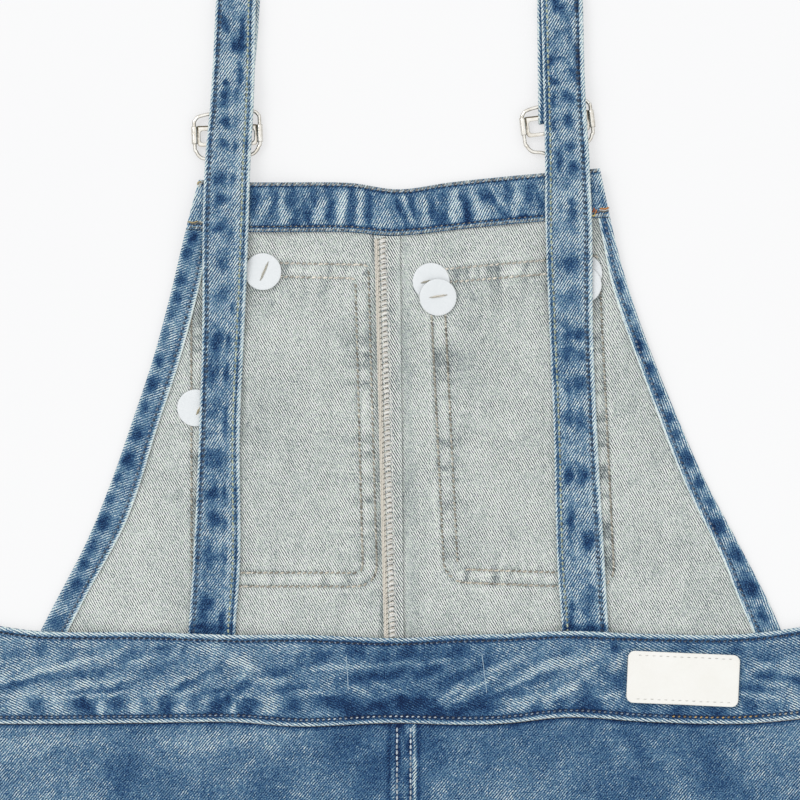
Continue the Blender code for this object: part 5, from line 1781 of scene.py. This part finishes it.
STRAP_FADES = {
    "left": table_of(
        Fade,
        (-96.5, 296.2, 5.8, 3.0, 84, -0.9), (-90.5, 296.7, 4.1, 1.4, 80, -0.7),
        (-96.7, 281.2, 3.7, 2.6, 84, -0.9), (-91, 281, 2.8, 1.4, 80, -0.6),
        (-97.5, 269.5, 3.0, 3.2, 60, -0.8), (-91.1, 268.1, 3.6, 1.8, 80, -0.8),
        (-100.1, 251, 4.4, 3.6, 60, -0.9), (-92.5, 250, 3.6, 1.5, 84, -0.7),
        (-99.3, 239.2, 4.2, 3.3, 40, -0.9), (-100.2, 223.8, 3.8, 3.0, 30, -0.9),
        (-93.8, 220, 3.4, 1.5, 84, -0.6), (-98.2, 206, 6, 4.2, 70, -0.7), (-98.5, 188, 4.5, 4.2, 80, -0.7),
        (-92.6, 180, 4.4, 1.5, 88, -0.6), (-101.5, 162, 5.6, 3.2, 84, -0.95),
        (-95.2, 161.5, 5.4, 1.3, 88, -0.8), (-103.5, 145.5, 8, 3.8, 80, -0.6),
        (-96.6, 144.5, 5.8, 1.6, 84, -0.95), (-104, 124, 6, 4.8, 40, -0.6), (-97, 117, 9.5, 1.4, 88, -0.8),
        (-105.5, 111, 4.6, 2.2, 20, -0.6), (-102.8, 96.5, 6.5, 5.8, 0, -0.85),
        (-103.8, 77.8, 5.2, 4.0, 80, -0.9), (-97.5, 77.5, 4.8, 1.6, 88, -0.85),
        (-103.5, 63.8, 6.4, 4.0, 70, -0.85), (-97.8, 61, 4.4, 1.6, 88, -0.7),
        (-106.5, 42, 9, 3.8, 80, -0.45), (-97.5, 42, 7.5, 1.5, 88, -0.5), (-108, 14.5, 10.5, 4.2, 84, -0.9),
        (-98.8, 9.5, 7.2, 2.0, 88, -1.0),
    ),
    "right": table_of(
        Fade,
        (90.8, 295.4, 3.0, 3.3, 60, -0.8), (82.8, 293.3, 4.3, 1.5, 88, -0.8),
        (91.3, 281.6, 3.4, 2.8, 70, -0.85), (83.3, 280.7, 3.4, 1.5, 88, -0.8),
        (93, 268.4, 2.9, 3.0, 60, -0.8), (86.2, 261.4, 7, 1.4, 88, -0.75),
        (94.3, 256.9, 2.9, 2.8, 60, -0.8), (92.3, 237.3, 2.6, 2.3, 60, -0.7),
        (93, 229.9, 5.2, 3.3, 80, -0.85), (86.3, 234.3, 3.4, 1.3, 88, -0.6), (93, 205, 5.8, 4.2, 20, -0.7),
        (93.5, 185, 6.5, 4.8, 60, -0.55), (97, 165.5, 3.8, 3.8, 70, -0.9), (91, 164.5, 8, 1.8, 88, -0.6),
        (91.5, 154.4, 4.8, 3.6, 80, -0.6), (99, 153, 3.6, 3.4, 60, -0.7), (98.5, 138.3, 4.6, 3.6, 0, -0.75),
        (91.5, 136.5, 4.8, 1.5, 88, -0.6), (99.5, 117.8, 5, 4.4, 80, -0.65), (91.5, 121, 8, 2.0, 88, -0.55),
        (91.6, 88, 5.8, 2.4, 88, -0.85), (99.8, 87.3, 5, 4.2, 70, -0.9), (92.5, 60, 11.5, 1.6, 88, -0.8),
        (102.5, 51.7, 6.2, 3.7, 84, -0.95), (103, 19.2, 8.6, 5.6, 80, -0.7),
        (92.8, 11.5, 8, 2.0, 86, -0.95), (104, 5, 6, 3.6, 86, -0.5),
    ),
}
SEAT_FADES = table_of(
    Fade,
    (-24, -64, 20, 30, 90, -0.08), (-12, -76, 18, 8, 60, -0.08), (-34, -58, 12, 7, 20, -0.09),
    (-2, -54, 5, 16, 0, -0.2), (17, -60, 14, 8, 90, -0.1), (24, -80, 12, 5, 40, 0.06),
    (0.5, -64, 7, 3.4, 90, 0.14), (7.4, -78, 20, 0.9, 90, 0.26), (-6.2, -74, 16, 0.7, 92, 0.14),
    (-152, -78, 14, 9, 60, -0.12), (-100, -58, 44, 6, 3, 0.12), (-190, -58, 26, 6, 3, 0.12),
    (130, -64, 22, 5, 128, -0.12), (120, -58, 20, 4, 130, 0.1), (170, -72, 24, 9, 122, -0.12),
    (150, -84, 22, 5, 126, 0.08), (200, -60, 22, 7, 20, 0.06), (60, -90, 40, 16, 30, 0.05),
    (-70, -84, 26, 12, 60, -0.08),
)


def folded(x, y, folds, edge):
    lift = np.zeros(np.shape(x))
    for fold in folds:
        along, across = turned(x - fold.x, y - fold.y, fold.turn)
        lift += fold.height * np.exp(-((along / fold.length) ** 2) - (across / fold.width) ** 2)
    return lift * ease(edge / EDGE_FADE)


PANEL_WIDTH, PANEL_LENGTH = 235, 990  # about, for the steps between a leg panel's points
RIM_STRIP, HEM_STRIP, FELL_STRIP = 1.2, 26, 10.5  # where those points are close together
SEAT_SHARE = 0.12  # and the share of the length that the photo shows, also close


def leg_grid(fine):
    """Places on a panel. Columns run from the outer edge to the inner one, close together at the fell."""
    columns = stations(PANEL_WIDTH, 3.0 if fine else 8.0, 0.8)
    if fine:
        inner = 1 - stations(FELL_STRIP, 0.8, 0.8)[::-1] * FELL_STRIP / PANEL_WIDTH
        columns = np.concatenate([columns[columns < 0.955], inner[inner > 0.958]])
    rim = np.array([*RIM_STEPS, 0.8]) / PANEL_LENGTH
    past_rim, hem_start = RIM_STRIP / PANEL_LENGTH, 1 - HEM_STRIP / PANEL_LENGTH
    seat = np.linspace(0, SEAT_SHARE, 48 if fine else 14)[1:]
    legs = np.linspace(SEAT_SHARE, hem_start, 130 if fine else 70)[1:]
    hem = np.linspace(hem_start, 1 - past_rim, 26 if fine else 10)[1:]
    rows = np.concatenate([rim, seat[seat > past_rim], legs, hem, 1 - rim[::-1]])
    return np.meshgrid(columns, rows)


def leg_place(face, side, u, v):
    sign = SIGN[side]
    seam = BACK_SEAM if face == "back" else 0.0
    top = band_edge(sign * lerp(BAND_END, GAP / 2, u), "bottom") - GAP
    y = lerp(top, HEM, v)
    outer = curve(LEGS, "outer", y)
    inner = np.maximum(0.0, curve(LEGS, "inner", y)) + SEAM_GAP / 2
    x = sign * lerp(outer, inner, u) + seam * ease((u - 0.5) * 2)
    return x, y, top, outer, inner


FELL_ROWS = (1.6, 3.7)  # how far from a leg panel's inner edge its stitches run
HEM_ROW = HEM_TURN - 2.5  # and how far above its hem


def leg_panel(face, side):
    fine = face == "back"
    u, v = leg_grid(fine)
    x, y, top, outer, inner = leg_place(face, side, u, v)
    hem = HEM_WALL * ease((HEM + HEM_TURN - y) / 1.5 + 0.5)
    seed = {"back_left": 140, "back_right": 150, "front_left": 160, "front_right": 170}[f"{face}_{side}"]
    edge = np.minimum.reduce([outer - np.abs(x), np.abs(x) - inner + 12, top - y, y - HEM])
    from_inner = (1 - u) * (outer - inner)
    from_outer = u * (outer - inner)
    fell_edge = (1 - FELL_SHARE) * (outer - inner)
    crease = folded(x, y, CREASES, edge)
    low, fell = np.zeros_like(x), 0
    if fine:
        fell = FELL_WALL * ease((fell_edge - from_inner) / 1.4 + 0.5)
        loft = np.minimum(MOST_LOFT, folded(x, y, FOLDS, edge))
        loft = np.maximum(0.0, loft + crease + 0.22 * noise(x, y, 22, seed))
        low = PANEL_WALL + hem + GAP + loft
    high = low + PANEL_WALL + hem + fell
    roping = streaks(x, y, 9, 5, 35 * SIGN[side], seed + 1)

    def relief(x, y, across, down):
        lift = 0.06 * noise(x, y, 5, seed + 2)
        lift += 0.2 * roping * (near(from_inner - 3, 3.5) + near(y - HEM - 8, 8))
        lift -= 0.25 * near(y - HEM - HEM_ROW, 1.0)
        for row in FELL_ROWS if fine else ():
            lift -= 0.25 * near(from_inner - row, 0.8) * np.where((row < 2) & (y > CROTCH), 0, 1)
        return lift * ease(np.minimum(down, across) / 1.4)

    def wear(x, y, across, down):
        off_centre = np.abs(x) - lerp(inner, outer, 0.5)
        tone = 0.38 + 0.1 * near(off_centre, 70) * near(y + 330, 190)
        tone += 0.035 * ease((np.abs(x) - 150) / 40)
        tone -= 0.06 * near(x - 130, 70) * near(y + 60, 60)
        tone += 0.07 * near(off_centre, 60) * near(y + 640, 90)
        tone += 0.05 * noise(x, y, 30, seed + 3) + 0.035 * streaks(x, y, 14, 6, 64, seed + 4)
        tone += 0.03 * noise(x, y, 4.5, seed + 5) + 0.08 * crease * ease((-110 - y) / 40)
        tone += faded(x, y, SEAT_FADES, 1.0)
        tone += 0.3 * roping * (near(from_inner - 3, 3.2) + near(y - HEM - 8, 7) + near(from_outer, 3))
        tone += 0.34 * near(from_inner, 0.9) * (y < CROTCH)
        tone += 0.35 * near(y - HEM, 1.1) + 0.25 * near(from_outer, 1.0)
        # The dark line along the hem's stitch row is partly painted shade in its groove, partly less worn
        # cloth; the dark line along the top edge is painted shadow, where the waistband's edge shades the
        # panel.
        tone -= 0.2 * near(y - HEM - HEM_ROW, 0.9) + 0.3 * near(down, 1.2) * (y > HEM + 60)
        if fine:
            # Painted shadow: a dark line 7.8 mm in from the inner edge, beside the fell's folded edge. The
            # line along the outer fell row is partly painted shade in its groove, partly less worn cloth.
            tone -= 0.22 * near(from_inner - 7.8, 1.4) + 0.22 * near(from_inner - FELL_ROWS[1], 1.4)
            tone += {"left": 0.12, "right": 0.34}[side] * near(from_inner - fell_edge + 0.3, 0.9)
        return tone

    def inside_wear(x, y, across, down):
        return 0.5 + 0.08 * noise(x, y, 20, seed + 6)

    node = f"{face}_{side}"
    finishes = ["leg", "leg_inside"] if fine else ["leg_inside", "front"]
    upper, lower = (wear, inside_wear) if fine else (inside_wear, wear)
    made = flat_shell(
        f"cloth_{node}", node, x, y, low, high, finishes, relief, upper, 0.55, under=lower, joined=y > CROTCH
    )

    threads = Threads(node, up=1 if fine else -1)
    v = np.linspace(0.002, 0.998, 700)
    wide, narrow = leg_place(face, side, np.ones(700), v)[3:]
    for number, inside in enumerate(FELL_ROWS):
        path = threads.lay(*leg_place(face, side, 1 - inside / (wide - narrow), v)[:2])
        below = path[:, 1] < CROTCH
        style = {"seed": seed + 7 + number, "lift": 0.9 if fine else 0.3, "uneven": 0.2}
        threads.row(path[below], "gold", 0.7, **style)
        if number and fine:
            threads.row(path[~below], "frost", 1.1, **style)
    x = leg_place(face, side, np.linspace(0.004, 0.996, 240), np.full(240, 1.0))[0]
    path = threads.lay(x, np.full(240, HEM + HEM_ROW))
    threads.row(path, "tan", seed=seed + 9, lift=1.0 if fine else 0.3)
    threads.piece()


# ---------------------------------------------------------------- floor, light and camera

FRAME_MIDDLE = (-1.1, 129.25)  # what the camera looks at, in the garment's millimetres
FRAME_WIDTH = 440.0
CAMERA_HEIGHT = 2000.0
SENSOR = 36.0
FLOOR_HALF = 30.0  # metres
FLOOR_DROP = -0.00005  # metres
KEY_WAY, KEY_SPREAD, KEY_POWER = (0.75, -0.5, -1.0), 30.0, 1.1
# The sky's linear colours, from the horizon up.
SKY = ((0.0, (0.12, 0.115, 0.11)), (0.16, (0.5, 0.5, 0.5)), (0.5, (0.99, 0.995, 1.0)))
FLOOR_GLOW = 0.62  # the share of the floor's brightness that is its own, so that shadows stay pale


def floor():
    data = bpy.data.meshes.new("floor")
    corners = [(-1, -1), (1, -1), (1, 1), (-1, 1)]
    data.from_pydata([(x * FLOOR_HALF, y * FLOOR_HALF, FLOOR_DROP) for x, y in corners], [], [(0, 1, 2, 3)])
    tree = material("floor")
    grey = tree.dyed(tree.noise(tree.place(), 3.0), ((0.0, (248, 248, 249)), (1.0, (250, 250, 250))))
    tree.set(Base_Color=tree.scaled(grey, 1 - FLOOR_GLOW), Roughness=0.9, Specular_IOR_Level=0.1)
    tree.set(Emission_Color=grey, Emission_Strength=FLOOR_GLOW * EXPOSURE)
    data.materials.append(tree.owner)
    made = bpy.data.objects.new("floor", data)
    bpy.context.scene.collection.objects.link(made)


def light(name, aim, spread, power):
    """A soft lamp so far off that it lights everything alike. aim is the way that its light falls."""
    data = bpy.data.lights.new(name, "SUN")
    data.angle = math.radians(spread)
    data.energy = power
    made = bpy.data.objects.new(name, data)
    made.rotation_euler = Vector(aim).to_track_quat("-Z", "Y").to_euler()
    bpy.context.scene.collection.objects.link(made)


def studio():
    floor()
    tree = Tree(bpy.data.worlds.new("studio"), "Background")
    way = tree.add("ShaderNodeTexCoord", "Generated", {})
    height = tree.add("ShaderNodeSeparateXYZ", "Z", {0: way})
    tree.set(Color=tree.ramp(height, SKY), Strength=ZENITH)
    bpy.context.scene.world = tree.owner
    light("key", KEY_WAY, KEY_SPREAD, KEY_POWER)
    bpy.context.scene.view_settings.view_transform = "Standard"


def camera():
    data = bpy.data.cameras.new("camera")
    data.sensor_width = SENSOR
    data.lens = SENSOR * CAMERA_HEIGHT / FRAME_WIDTH
    data.clip_end = 100.0
    made = bpy.data.objects.new("camera", data)
    made.location = (FRAME_MIDDLE[0] * MM, (FRAME_MIDDLE[1] + MIDDLE) * MM, CAMERA_HEIGHT * MM)
    bpy.context.scene.collection.objects.link(made)
    bpy.context.scene.camera = made


def main():
    camera()
    studio()
    for pocket in POCKETS:
        bib_pocket(pocket)
    bib()
    bib_seam()
    bib_top_facing()
    for side in SIGN:
        bib_side_facing(side)
    backing_discs()
    for buckle in BUCKLES:
        strap(buckle.side, buckle)
        buckle_wire(buckle)
        buckle_slider(buckle)
        polished(f"bib_button_{buckle.side}")
    waistband_front()
    waistband_back()
    label_patch()
    for face in ("front", "back"):
        for side in SIGN:
            leg_panel(face, side)


main()
